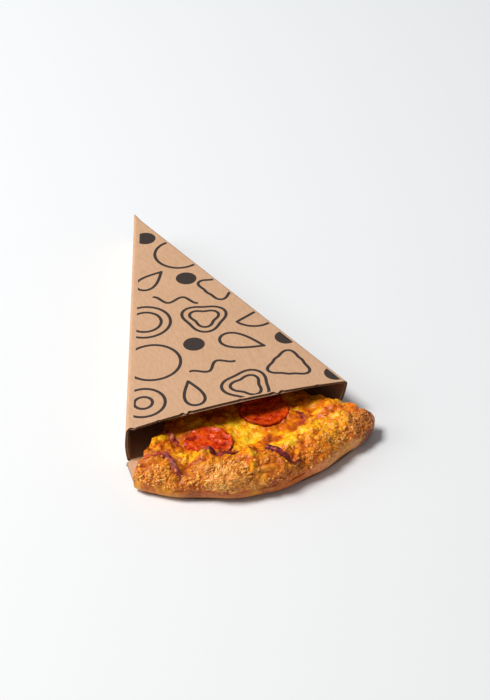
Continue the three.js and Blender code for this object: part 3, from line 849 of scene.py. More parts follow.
def build_sleeve():
    backs = np.concatenate([[MOUTH], np.linspace(MOUTH - 1.5, 30, 66), [22, 15, 9, 5, 3, 1.6]])
    inner_backs = np.concatenate([[MOUTH], np.linspace(MOUTH - 1.5, 30, 66), [22, 15, 9]])
    n_top, n_low = 150, 60
    verts, faces = [], []

    def take(p):
        start = sum(len(v) for v in verts)
        verts.append(np.asarray(p, float))
        return np.arange(start, start + len(p))

    def section(back, inset, mouth, top_points):
        xz, corner, half = sleeve_section(back, inset)
        top_x = np.linspace(half, -half, top_points + 2)[1:-1] if top_points else np.zeros(0)
        bow = TOP_BOW * (back / MOUTH) ** 2
        top = np.stack([top_x, SLEEVE_HEIGHT - inset + bow * (1 - (top_x / half) ** 2)], 1)
        low_x = np.linspace(xz[-1, 0], xz[0, 0], n_low + 2)[1:-1]
        low = np.stack([low_x, np.full(n_low, inset)], 1)
        p = np.concatenate([xz[:corner], top, xz[corner:], low])
        y = np.full(len(p), -back)
        if mouth:
            y = y + mouth_recess(p[:, 0], p[:, 1]) + mouth_rag(p[:, 0]) * smooth((p[:, 1] - (SLEEVE_HEIGHT - 3)) / 2)
        return np.stack([p[:, 0], y, p[:, 1]], 1), corner, corner + top_points, len(xz) + top_points

    # outer skin, without its flat top
    rings, first = [], None
    for k, b in enumerate(backs):
        p, c0, c1, c2 = section(b, 0.0, k == 0, n_top if k == 0 else 0)
        ids = take(p)
        if k == 0:
            first = ids
            outer_c = (c0, c1, c2)
            ids = np.concatenate([ids[:c0], ids[c1:]])
        rings.append(ids)
    rings = np.array(rings)
    c = outer_c[0]
    faces += grid_faces(rings[:, :c])
    faces += grid_faces(np.concatenate([rings[:, c:], rings[:, :1]], 1))
    # inner skin
    inner = []
    for k, b in enumerate(inner_backs):
        p, *_ = section(b, CARD, k == 0, n_top)
        inner.append(take(p))
    inner = np.array(inner)
    dark_start = len(faces)
    faces += grid_faces(np.concatenate([inner, inner[:, :1]], 1), True)
    dark_end = len(faces)
    for ring, out in ((rings[-1], True), (inner[-1], False)):
        pts = np.concatenate(verts)[ring]
        mid = take([pts.mean(0)])[0]
        for a, b in zip(ring, np.roll(ring, -1)):
            faces.append([mid, b, a] if out else [mid, a, b])

    # the tongue, from the bottom panel's front edge outwards
    rows = 22

    def tongue(ids, z):
        p = np.concatenate(verts)[ids]
        u = np.linspace(0, 1, len(ids))
        out = [ids]
        for m in range(1, rows + 1):
            t = m / rows
            wide = float(smooth(t / 0.12))
            xl = mix(p[0, 0], -TONGUE_LEFT + 1.2 * (1 - t), wide)
            xr = mix(p[-1, 0], TONGUE_RIGHT - 1.2 * (1 - t), wide)
            x = mix(xl, xr, u)
            front = TONGUE_CENTRE - np.sqrt(TONGUE_R**2 - x**2)
            edge = np.minimum(x - xl, xr - x)
            front = front + 3.0 * (1 - np.sqrt(np.clip(1 - (1 - np.clip(edge / 3.0, 0, 1)) ** 2, 0, 1)))
            y = mix(-MOUTH, front, t)
            out.append(take(np.stack([x, y, np.full(len(x), z)], 1)))
        return np.array(out)

    low_out = np.concatenate([[first[outer_c[2] - 1]], first[outer_c[2] :], [first[0]]])
    low_in = np.concatenate([[inner[0][outer_c[2] - 1]], inner[0][outer_c[2] :], [inner[0][0]]])
    t_out, t_in = tongue(low_out, 0.0), tongue(low_in, CARD)
    faces += grid_faces(t_out, True)
    faces += grid_faces(t_in, False)

    # the cut edge of the card all round: outer skin, liner, flutes, liner, inner skin
    def border(ring, t):
        return np.concatenate([ring[: outer_c[2] - 1], t[:, 0], t[-1, 1:-1], t[::-1, -1], ring[:0]])

    rim_out, rim_in = border(first, t_out), border(inner[0], t_in)
    # the right foot's first point is the last of the tongue's right side
    rim_out, rim_in = rim_out[1:], rim_in[1:]
    pts = np.concatenate(verts)
    a, b = pts[rim_out], pts[rim_in]
    run = np.concatenate([[0], np.cumsum(np.linalg.norm(np.diff((a + b) / 2, axis=0), axis=1))])
    tangent = np.roll((a + b) / 2, -1, 0) - np.roll((a + b) / 2, 1, 0)
    across = b - a
    inward = np.cross(tangent, across)
    inward /= np.maximum(np.linalg.norm(inward, axis=1), 1e-9)[:, None]
    towards = np.array([0.0, 1.0, 0.0])
    centre = np.array([0.0, -200.0, 0.0])
    flip = np.sign((inward * towards).sum(1) + 1e-3 * ((centre - a) * inward).sum(1))
    inward *= flip[:, None]
    flute = 0.5 + 0.5 * np.sin(run * 2 * math.pi / 3.4)
    rows_ids = [rim_out]
    for t, deep in ((0.16, 0.0), (0.3, 1.0), (0.7, 1.0), (0.84, 0.0)):
        shift = np.where(deep, 0.25 + 0.55 * (flute if t < 0.5 else 1 - flute), 0.0)
        rows_ids.append(take(a + across * t + inward * shift[:, None]))
    rows_ids.append(rim_in)
    edge = np.array(rows_ids).T
    edge = np.concatenate([edge, edge[:1]])
    edge_start = len(faces)
    faces += grid_faces(edge, True)
    edge_end = len(faces)

    # the flat top with its print
    top_ids = np.concatenate([first[outer_c[0] - 1 : outer_c[1] + 1], rings[1:, outer_c[0]], rings[:0:-1, outer_c[0] - 1]])
    pts = np.concatenate(verts)
    rim = pts[top_ids][:, :2]

    def room(p):
        """How far inside the printable field a plan point is."""
        x, y = p[:, 0], p[:, 1]
        k = math.cos(SLEEVE_ANGLE / 2)
        side = (-y * TAN - np.abs(x)) * k - FOLD_R - 0.35
        side_left = (-y * TAN + x) * k - FOLD_R - 2.2
        front = y + MOUTH - mouth_recess(x, np.full(len(x), SLEEVE_HEIGHT + 1.0)) - 1.2
        return np.minimum(np.minimum(side, side_left), np.minimum(front, -y - 14))

    points, edges = [tuple(q) for q in rim], []
    n = len(rim)
    edges += [(k, (k + 1) % n) for k in range(n)]

    def add_line(line, closed):
        """Adds the stretches of a line that lie inside the field."""
        line = np.asarray(line)
        q = np.concatenate([line, line[:1]]) if closed else line
        inside = room(q) > 0
        last = None
        for k in range(len(q)):
            if k:
                if inside[k] != inside[k - 1]:
                    lo, hi = q[k - 1], q[k]
                    for _ in range(26):
                        m = (lo + hi) / 2
                        if (room(m[None])[0] > 0) == inside[k - 1]:
                            lo = m
                        else:
                            hi = m
                    points.append(tuple((lo + hi) / 2))
                    cross = len(points) - 1
                    if inside[k]:
                        last = cross
                    else:
                        edges.append((last, cross))
                        last = None
            if inside[k]:
                points.append(tuple(q[k]))
                if last is not None:
                    edges.append((last, len(points) - 1))
                last = len(points) - 1
            elif not (k and inside[k] != inside[k - 1]):
                last = None

    # the field's own outline
    ys = np.linspace(-MOUTH + 0.5, -14.2, 200)
    k = math.cos(SLEEVE_ANGLE / 2)
    right = np.stack([-ys * TAN - (FOLD_R + 0.36) / k, ys], 1)
    left = np.stack([ys * TAN + (FOLD_R + 2.21) / k, ys], 1)
    xs = np.linspace(-74, 74, 150)
    front = np.stack([xs, -MOUTH + mouth_recess(xs, np.full(150, SLEEVE_HEIGHT + 1.0)) + 1.21], 1)
    for line in (right, left, front):
        add_line(line, False)
    shapes = print_shapes()
    for loops, _ in shapes:
        for loop in loops:
            add_line(loop, True)
    rng = np.random.default_rng(5)
    gx, gy = np.meshgrid(np.arange(-75, 76, 3.5), np.arange(-229, -8, 3.5))
    free = np.stack([gx.ravel(), gy.ravel()], 1) + rng.uniform(-0.5, 0.5, (gx.size, 2))
    free = free[room(free) > -1.0]
    points += [tuple(q) for q in free[room(free) > 0.8]]
    made = delaunay_2d_cdt([Vector(q) for q in points], edges, [], 0, 1e-5, True)
    v2 = np.array([tuple(q) for q in made[0]])
    tri = np.array(made[2])
    origin = made[3]
    ids = np.full(len(v2), -1)
    for k, came in enumerate(origin):
        for o in came:
            if o < n:
                ids[k] = top_ids[o]
    new = ids < 0
    z = top_z(v2[:, 0], v2[:, 1])
    calm = smooth(room(v2) / 6)
    z = z + calm * 0.10 * perlin(np.c_[v2 / 17.0, v2[:, 0] * 0], 40)
    ids[new] = take(np.c_[v2, z][new])
    mid = v2[tri].mean(1)
    # keep what lies inside the panel
    inside = np.zeros(len(mid), bool)
    j = n - 1
    for i in range(n):
        (x1, y1), (x2, y2) = rim[i], rim[j]
        hit = (y1 > mid[:, 1]) != (y2 > mid[:, 1])
        with np.errstate(divide="ignore", invalid="ignore"):
            at = (x2 - x1) * (mid[:, 1] - y1) / (y2 - y1) + x1
        inside ^= hit & (mid[:, 0] < at)
        j = i
    inked = np.zeros(len(mid), bool)
    for _, test in shapes:
        inked |= test(mid)
    inked &= room(mid) > 0
    cross = np.cross(v2[tri[:, 1]] - v2[tri[:, 0]], v2[tri[:, 2]] - v2[tri[:, 0]])
    top_start = len(faces)
    marks = []
    for t, ok, ink, w in zip(tri, inside, inked, cross):
        if ok and abs(w) > 1e-9:
            f = [int(ids[v]) for v in t]
            faces.append(f if w > 0 else f[::-1])
            marks.append(1 if ink else 0)

    tidy, index = [], []
    for k, f in enumerate(faces):
        g = [int(v) for q, v in enumerate(f) if v != f[q - 1]]
        if len(set(g)) < 3:
            continue
        tidy.append(g)
        if edge_start <= k < edge_end:
            index.append(2)
        elif dark_start <= k < dark_end:
            index.append(3)
        elif k >= top_start:
            index.append(marks[k - top_start])
        else:
            index.append(0)
    v = np.concatenate(verts)
    used = np.unique(np.concatenate([np.array(f) for f in tidy]))
    again = np.full(len(v), -1)
    again[used] = np.arange(len(used))
    tidy = [[int(again[q]) for q in f] for f in tidy]
    me = bpy.data.meshes.new("folded_card_sleeve")
    me.from_pydata(metres(v[used]).tolist(), [], tidy)
    me.shade_smooth()
    me.set_sharp_from_angle(angle=math.radians(38))
    me.materials.append(kraft_paint("kraft_card", (0.66, 0.395, 0.235), (0.54, 0.305, 0.170), (0.78, 0.53, 0.35), True))
    me.materials.append(ink_paint())
    # the cut edge gets a darker kraft: painted shade on the edge and in its flutes
    me.materials.append(kraft_paint("kraft_cut_edge_painted_shade", (0.34, 0.20, 0.115), (0.17, 0.095, 0.052), (0.60, 0.42, 0.27), False))
    # the inner skin gets a darker kraft: painted shade inside the sleeve
    me.materials.append(kraft_paint("kraft_inside_painted_shade", (0.36, 0.19, 0.105), (0.27, 0.135, 0.072), (0.45, 0.27, 0.16), True))
    me.polygons.foreach_set("material_index", np.array(index, np.int32))
    return link_piece("folded_card_sleeve", me, ("card_sleeve",))


# ------------------------------------------------------------------ fields of colour
def blob(v, cx, cy, rx, ry, turn=0.0, rough=0.3, seed=0):
    """A soft patch round a plan point, its border broken up by noise. 1 in the middle, 0 outside."""
    c, s = math.cos(math.radians(turn)), math.sin(math.radians(turn))
    dx, dy = v[:, 0] - cx, v[:, 1] - cy
    d = np.hypot((dx * c + dy * s) / rx, (dy * c - dx * s) / ry)
    edge = rough * (fbm(v / 5.5, 2, 160 + seed) + 0.5 * perlin(v / 1.7, 170 + seed))
    return smooth((1.25 - d + edge) / 0.7)


def stain(rgb, colour, amount):
    return mix(rgb, np.array(colour), np.clip(amount, 0, 1)[:, None])


def gradient(a, stops):
    """Colours for values a, from (value, colour) stops."""
    at = [q[0] for q in stops]
    col = np.array([q[1] for q in stops])
    return np.stack([np.interp(a, at, col[:, k]) for k in range(3)], 1)


# ------------------------------------------------------------------ dough
def dough_warp(p):
    return p + 1.4 * np.stack([perlin(p / 9.0 + k * 5.0, 15 + k) for k in range(3)], 1)


def dough_rise(p, rim):
    """How far the baked surface stands out from the plain shape, in mm. rim is 0 on the flat
    part and 1 on the rim. Puffed lumps with sharp valleys between them."""
    q = dough_warp(p)
    big = 0.9 * fbm(q / 13.0, 2, 3)
    mid = 0.4 * fbm(q / 4.8, 2, 7)
    puff = 2.7 * (np.abs(perlin(q / 8.0 + 3.1, 19)) - 0.2) + 1.1 * (np.abs(perlin(q / 4.0 + 8.3, 23)) - 0.2)
    small = 0.17 * perlin(p / 1.9, 12) + 0.08 * perlin(p / 0.9, 13)
    top = 0.3 + 0.7 * smooth((p[:, 2] - 9.0) / 5.0)
    top *= 1 - 0.45 * blob(p, -24.5, -287, 22, 11, -18, 0.2, 1)
    return mix(0.25, 1.0, rim) * (big + mid + puff * top) + small * mix(0.5, 1.0, rim)


def dough_crease(p):
    """1 in the valleys between the lumps."""
    q = dough_warp(p)
    wide = 1 - smooth(np.abs(perlin(q / 8.0 + 3.1, 19)) / 0.11)
    thin = 1 - smooth(np.abs(perlin(q / 4.0 + 8.3, 23)) / 0.09)
    return np.clip(0.8 * wide + 0.55 * thin, 0, 1)


BLISTERS = []
_rng = np.random.default_rng(21)
for _ in range(34):
    _s = _rng.uniform(-0.97, 0.97)
    BLISTERS.append((_s, _rng.uniform(-2.0, 15.0), _rng.uniform(2.2, 5.0), _rng.uniform(0.5, 1.2)))


def blister_rise(p):
    total = np.zeros(len(p))
    for s, out, r, h in BLISTERS:
        rho = crest_r(s) + out
        x, y = plan(s, rho)
        c = np.array([x, y, float(dough_top(np.array([s]), np.array([rho]))[0])])
        d = np.linalg.norm(p - c, axis=1) / r
        total = np.maximum(total, h * np.clip(1 - d * d, 0, 1) ** 1.4)
    return total


def dough_fields(p, s, rho):
    """Rise above the plain shape for points of the top sheet."""
    foot = crest_r(s) - ramp(s)
    rim = smooth((rho - foot - 4) / 14)
    rise = dough_rise(p, rim) + blister_rise(p)
    crease = 1.9 * hump(s, -0.625 + 0.02 * np.sin(rho * 0.3), 0.03) + 1.1 * hump(s, 0.175 + 0.015 * np.sin(rho * 0.27), 0.026)
    rise -= crease * smooth((rho - crest_r(s) + 16) / 10) * smooth((crest_r(s) + 13 - rho) / 8)
    return rise


TAN_BREAD, GOLD, ORANGE = (0.58, 0.215, 0.052), (0.85, 0.335, 0.014), (0.72, 0.175, 0.010)
BROWN, RED_BROWN, DARK = (0.43, 0.118, 0.024), (0.29, 0.050, 0.012), (0.13, 0.024, 0.007)


def grain_cover(v):
    """Where grated grains and crumbs are baked on: a number from 0, none, to about 1, crowded."""
    s, rho = locate(v[:, 0], v[:, 1])
    c = 1.15 * blob(v, -24.5, -287.5, 19, 8.5, -18, 0.35, 1)
    c = np.maximum(c, 0.55 * blob(v, -68, -270, 12, 6, -28, 0.7, 2))
    c = np.maximum(c, 0.20 * blob(v, -48, -283, 8, 5, -20, 0.7, 3))
    c = np.maximum(c, 0.80 * blob(v, 71, -264, 11, 7, 38, 0.6, 4))
    c = np.maximum(c, 0.34 * blob(v, 53, -275, 16, 5, 28, 0.8, 8))
    c = np.maximum(c, 0.34 * blob(v, 30, -287, 10, 5, 18, 0.8, 5))
    c = np.maximum(c, 0.20 * blob(v, 8, -295, 15, 4, -4, 0.8, 6))
    c = np.maximum(c, 0.22 * blob(v, -79, -260, 4, 7, 0, 0.6, 7))
    c = c * (1 - 0.9 * blob(v, -7.5, -290, 7.5, 5.5, -10, 0.4, 22)) * (1 - 0.7 * blob(v, -33, -275.5, 12, 4, 12, 0.5, 23))
    band = smooth((rho - crest_r(s) + 9.0) / 4) * smooth((v[:, 2] - 9.0) / 3.5)
    clump = smooth((fbm(v / 3.2, 2, 57) + 0.26) / 0.4)
    return c * band * mix(clump, 1.0, np.clip(c, 0, 1) * 0.75)


def crust_colour(v, rise, s, rho):
    z = v[:, 2]
    wide, mid, small = fbm(v / 13.0, 2, 51), fbm(v / 4.2, 2, 55), perlin(v / 1.6, 59)
    cell, who = worley(v / 5.0 + 0.35 * np.stack([mid, wide, small], 1), 57)
    crease = dough_crease(v)
    # the rise term makes the lower places a little darker: painted shade
    a = 0.40 + 0.20 * wide + 0.22 * mid + 0.15 * small - 0.10 * np.clip(rise, -2, 2) + 0.20 * (who - 0.5)
    a += 0.20 * smooth(blister_rise(v) / 1.0)
    rgb = gradient(a, [(0.0, GOLD), (0.28, (0.78, 0.245, 0.014)), (0.5, (0.64, 0.150, 0.011)), (0.75, (0.43, 0.080, 0.010)), (1.0, RED_BROWN)])
    # the smooth lower front, tanned evenly, paler towards the bottom and at the left
    low = 1 - smooth((z - 6.8 - 2.2 * wide) / 6.0)
    pale = 0.15 + 0.85 * smooth((-0.5 - s) / 0.25)
    rgb = stain(rgb, (0.66, 0.155, 0.028), 0.85 * low)
    rgb = stain(rgb, (0.70, 0.33, 0.08), 0.9 * low * pale * smooth((8.0 - z) / 4.0))
    rgb = stain(rgb, (0.64, 0.235, 0.062), 0.7 * (1 - smooth((z - 5.5) / 2.5)) * (1 - pale))
    # the lower right side is stained a light tan: its own tan colour, lightened further as painted light for the bounce
    # from the table
    tan = (1 - smooth((z - 9.5 - 2.2 * wide) / 6.0)) * smooth((s - 0.1) / 0.4)
    rgb = stain(rgb, (1.0, 0.46, 0.19), 0.92 * tan)
    rgb = stain(rgb, (0.96, 0.68, 0.26), 0.85 * blob(v, -12, -296, 4.2, 3.0, 0, 0.4, 29) * (1 - smooth((z - 4.2) / 1.6)))
    # browner fields
    rgb = stain(rgb, RED_BROWN, 0.90 * blob(v, 76, -265, 10, 7, 40, 0.6, 11))
    rgb = stain(rgb, RED_BROWN, 0.55 * blob(v, -47, -281, 7, 4, -20, 0.7, 12))
    rgb = stain(rgb, RED_BROWN, 0.60 * blob(v, -1, -297, 12, 3.5, 0, 0.6, 13))
    rgb = stain(rgb, RED_BROWN, 0.50 * blob(v, -72, -265, 6, 4, -25, 0.7, 14))
    rgb = stain(rgb, (0.34, 0.050, 0.016), 0.70 * blob(v, -15.5, -281.5, 7, 3, -10, 0.5, 15))
    rgb = stain(rgb, ORANGE, 0.65 * blob(v, 12, -292, 14, 7, 2, 0.6, 16))
    rgb = stain(rgb, (0.34, 0.045, 0.014), 0.50 * blob(v, 20, -288, 6, 3, 20, 0.7, 17))
    rgb = stain(rgb, ORANGE, 0.60 * blob(v, -72, -271, 8, 4, -20, 0.5, 18))
    # cheesy gold that ran over the rim
    over = smooth((cheese_r(s) + 14 - rho + 6 * fbm(v / 6.0, 2, 53)) / 8) * smooth((z - 9) / 5)
    rgb = stain(rgb, gradient(0.5 + 0.7 * mid + 0.4 * small, [(0.0, (0.90, 0.40, 0.012)), (0.45, (0.80, 0.24, 0.010)), (1.0, (0.52, 0.10, 0.008))]), 0.85 * over)
    rgb = stain(rgb, (0.94, 0.41, 0.013), 0.95 * blob(v, 51, -267, 20, 12, 28, 0.5, 21))
    rgb = stain(rgb, (1.0, 0.44, 0.02), 0.92 * blob(v, 49, -266, 19, 10.5, 27, 0.6, 27))
    rgb = stain(rgb, (0.88, 0.36, 0.02), 0.90 * blob(v, -8.7, -290, 8, 5.5, -10, 0.5, 22))
    rgb = stain(rgb, GOLD, 0.85 * blob(v, -33, -275, 12, 4, 12, 0.5, 23))
    rgb = stain(rgb, (0.90, 0.36, 0.015), 0.85 * blob(v, -62, -272, 10, 6, -28, 0.6, 24))
    rgb = stain(rgb, (0.80, 0.22, 0.012), 0.70 * blob(v, -70, -264, 10, 5, -25, 0.6, 28))
    rgb = stain(rgb, (0.88, 0.44, 0.045), 0.80 * blob(v, -80.5, -262, 4, 8, 0, 0.4, 25))
    # between crowded grains the dough is darkened: painted shade in the gaps
    rgb = stain(rgb, (0.29, 0.055, 0.008), 0.86 * smooth((grain_cover(v) - 0.25) / 0.7) * (1 - 0.8 * blob(v, 51, -266, 22, 13, 28, 0.4, 21)))
    # crevices and sunk places are darkened: painted shade. The borders of the cells are darkened too
    deep = crease * (1 - 0.8 * low) * (1 - 0.4 * smooth((s - 0.35) / 0.2))
    rgb = rgb * (1 - 0.8 * deep[:, None] * np.array([0.48, 0.74, 0.80]))
    sunk = smooth((-rise - 0.7) / 1.2) * (1 - 0.5 * low)
    rgb = rgb * (1 - 0.7 * sunk[:, None] * np.array([0.48, 0.74, 0.80]))
    edge = smooth((cell - 0.55) / 0.3) * (1 - 0.8 * low)
    rgb = rgb * (1 - 0.5 * edge[:, None] * np.array([0.48, 0.74, 0.80]))
    # the right half lighter, short of its brown end
    light = smooth((s + 0.05) / 0.45) * (1 - blob(v, 76, -265, 11, 8, 40, 0.6, 11))
    return np.clip(rgb * (1 + light[:, None] * np.array([0.26, 0.08, -0.05])), 0, 1)


def build_dough():
    n = 384
    s = np.linspace(-1, 1, n)
    s = s * (1.06 - 0.06 * s * s)
    cr, nr, rp = crest_r(s), nose_r(s), ramp(s)
    foot = cr - rp - 3
    k_flat, k_ramp, k_nose = 16, 50, 56
    rows_rho = []
    for k in range(k_flat):
        rows_rho.append(TIP_R + (foot - TIP_R) * (k / k_flat) ** 0.85)
    for k in range(k_ramp):
        rows_rho.append(mix(foot, cr, k / k_ramp))
    for a in np.linspace(0, math.pi / 2, k_nose + 1):
        rows_rho.append(cr + (nr - cr) * math.sin(a))
    rho = np.array(rows_rho).T  # n, m
    m = rho.shape[1]
    S = np.repeat(s[:, None], m, 1)
    x, y = plan(S, rho)
    z = dough_top(S.ravel(), rho.ravel()).reshape(S.shape)
    z[:, -1] = RIM_MID
    top = np.stack([x, y, z], -1)
    # under side
    kc = k_flat + k_ramp
    low_rho = rho * ((nr - UNDERCUT) / cr)[:, None]
    low_z = np.full_like(rho, FLOOR)
    for k in range(kc, m):
        a = (m - 1 - k) / (m - 1 - kc) * math.pi / 2
        low_rho[:, k] = nr - UNDERCUT * (1 - math.cos(a) ** 0.7)
        low_z[:, k] = mix(RIM_MID, FLOOR, math.sin(a) ** 0.8)
    lx, ly = plan(S, low_rho)
    bottom = np.stack([lx, ly, low_z], -1)
    slab = Slab(top, bottom, 12, True, 2)
    v = slab.verts
    normal = vertex_normals(v, slab.faces)
    sv, rv = locate(v[:, 0], v[:, 1])
    is_top = np.zeros(len(v), bool)
    is_top[slab.top.ravel()] = True
    is_low = np.zeros(len(v), bool)
    is_low[slab.bottom.ravel()] = True
    is_low[slab.top[:, -1]] = False
    side = np.zeros(len(v), bool)
    for name in ("left", "right"):
        side[slab.side[name][:-1, 1:-1].ravel()] = True
    tip = np.zeros(len(v), bool)
    tip[slab.side["tip"][:, 1:-1].ravel()] = True
    low_edge = smooth((v[:, 2] - FLOOR - 0.5) / 6)
    rise = np.zeros(len(v))
    rise[is_top] = dough_fields(v[is_top], sv[is_top], rv[is_top])
    rise[is_low] = (0.5 * fbm(v[is_low] / 9.0, 2, 3) + 0.12 * perlin(v[is_low] / 1.8, 12)) * low_edge[is_low]
    # torn, porous bread on the cut sides
    cut = side | tip
    pores, who = worley(v[cut] / np.array([3.0, 3.0, 2.0]), 31)
    rise[cut] = 0.5 * fbm(v[cut] / 5.0, 2, 33) - 0.9 * np.clip(0.42 - pores, 0, 1) / 0.42
    plain = v.copy()
    v = v + normal * rise[:, None]
    # the ends of the rim are rounded off
    end = smooth((np.abs(sv) - 0.93) / 0.09) * smooth((rv - crest_r(sv) - 2) / 12)
    v[:, 0] -= end * 2.6 * (v[:, 0] - TIP[0]) / np.maximum(rv, 1)
    v[:, 1] -= end * 2.6 * (v[:, 1] - TIP[1]) / np.maximum(rv, 1)
    v[:, 2] = np.maximum(v[:, 2], CARD + 0.05)
    skin = crust_colour(plain, rise, sv, rv)
    inside = np.zeros(len(v))
    # the rim's own ends are baked round, only the lower part of the side was cut
    inside[cut] = 1.0
    inside *= 1 - smooth((rv - crest_r(sv) + 12) / 10) * (0.6 + 0.4 * smooth((plain[:, 2] - 10) / 6))
    me = make_mesh("baked_dough", v, slab.faces, 58)
    colour_layer(me, "tone", skin)
    colour_layer(me, "mask", np.stack([np.clip(inside, 0, 1), inside * 0, inside * 0], 1))
    me.materials.append(crust_paint())
    return link_piece("baked_dough", me, ("dough_crust",)), v, slab.faces


# ------------------------------------------------------------------ sauce and cheese
def top_with_rise(s, rho):
    x, y = plan(s, rho)
    z = dough_top(s, rho)
    p = np.stack([x, y, z], 1)
    return p, dough_fields(p, s, rho)


def layer_grid(s_max, n, rows, reach):
    s = np.linspace(-s_max, s_max, n)
    far = np.minimum(cheese_r(s) + reach, mix(crest_r(s), nose_r(s), 0.9))
    start = np.minimum(72.0, far - 40)
    rho = [TIP_R + 0.3 + (start - TIP_R) * (k / rows[0]) for k in range(rows[0])]
    rho += [mix(start, far, (k / rows[1]) ** 0.96) for k in range(rows[1] + 1)]
    rho = np.array(rho).T
    S = np.repeat(s[:, None], rho.shape[1], 1)
    return S, rho


def sheet_normals(p, shape):
    """Normals of a sheet of points given row by row, upwards."""
    grid = p.reshape(*shape, 3)
    n = np.cross(np.gradient(grid, axis=1), np.gradient(grid, axis=0))
    n /= np.maximum(np.linalg.norm(n, axis=2), 1e-9)[:, :, None]
    return n.reshape(-1, 3)


def cheese_bumps(p):
    """Melted cheese: shreds that ran together into soft lumps, smaller ones, and small blisters.
    Also gives how deep in a crease a point is, a number for each lump, and the blisters."""
    q = p + 1.5 * np.stack([perlin(p / 6.0 + k * 5.0, 175 + k) for k in range(3)], 1)
    q = q + 0.5 * np.stack([perlin(p / 2.2 + k * 5.0, 185 + k) for k in range(3)], 1)
    d1, who = worley(q * np.array([0.85, 1.0, 0.5]) / 6.6, 71)
    d2, who2 = worley(q * np.array([1.0, 1.0, 0.5]) / 3.1, 78)
    lumps = 1.8 * (0.50 - d1) + 0.5 * (0.48 - d2) * (0.4 + who) + 0.8 * fbm(q / 9.0, 2, 72)
    thread = 0.26 * (0.35 - np.abs(perlin(q / 1.8, 77)))
    small = 0.10 * perlin(p / 0.9, 75)
    f1, who3 = worley(p / 6.0, 76)
    blister = 0.8 * np.clip(1 - (f1 / 0.32) ** 2, 0, 1) ** 1.2 * (who3 > 0.6)
    crease = 0.7 * smooth((d1 - 0.38) / 0.42) + 0.3 * smooth((d2 - 0.36) / 0.4)
    return lumps + thread + small + blister, crease, 0.75 * who + 0.25 * who2, blister


def cheese_edge(p, s, rho):
    """How many millimetres a point is inside the ragged edge of the cheese."""
    runs = 4.5 * hump(s, -0.25, 0.38) + 10.0 * smooth((s - 0.34) / 0.12) * (1 - 0.7 * smooth((s - 0.85) / 0.15)) - 3.0 * hump(s, -0.80, 0.08)
    runs += 2.5 * hump(s, -0.93, 0.05) + 6.0 * hump(s, -0.48, 0.07) + 14.0 * hump(s, -0.14, 0.065)
    return cheese_r(s) - rho + runs + 6.5 * fbm(p / 8.0, 2, 84) + 2.6 * perlin(p / 2.6, 86)


def flat_on_dough(v):
    """The points of the plain dough under or over the given ones."""
    s, rho = locate(v[:, 0], v[:, 1])
    return np.stack([v[:, 0], v[:, 1], dough_top(s, rho)], 1), s, rho


def build_sauce():
    S, rho = layer_grid(0.990, 150, (16, 76), 2.0)
    s, r = S.ravel(), rho.ravel()
    p, rise = top_with_rise(s, r)
    n = sheet_normals(p, S.shape)
    edge = smooth((cheese_edge(p, s, r) - 1.0) / 2.5)
    top = p + n * (rise + mix(-0.7, 1.0 + 0.2 * perlin(p / 2.4, 82), edge))[:, None]
    low = p + n * (rise - 1.1)[:, None]
    shape = (*S.shape, 3)
    slab = Slab(top.reshape(shape), low.reshape(shape), 3, False, 2)
    me = make_mesh("sauce_layer", slab.verts, slab.faces, 60)
    me.materials.append(sauce_paint())
    return link_piece("sauce_layer", me, ("tomato_sauce",))


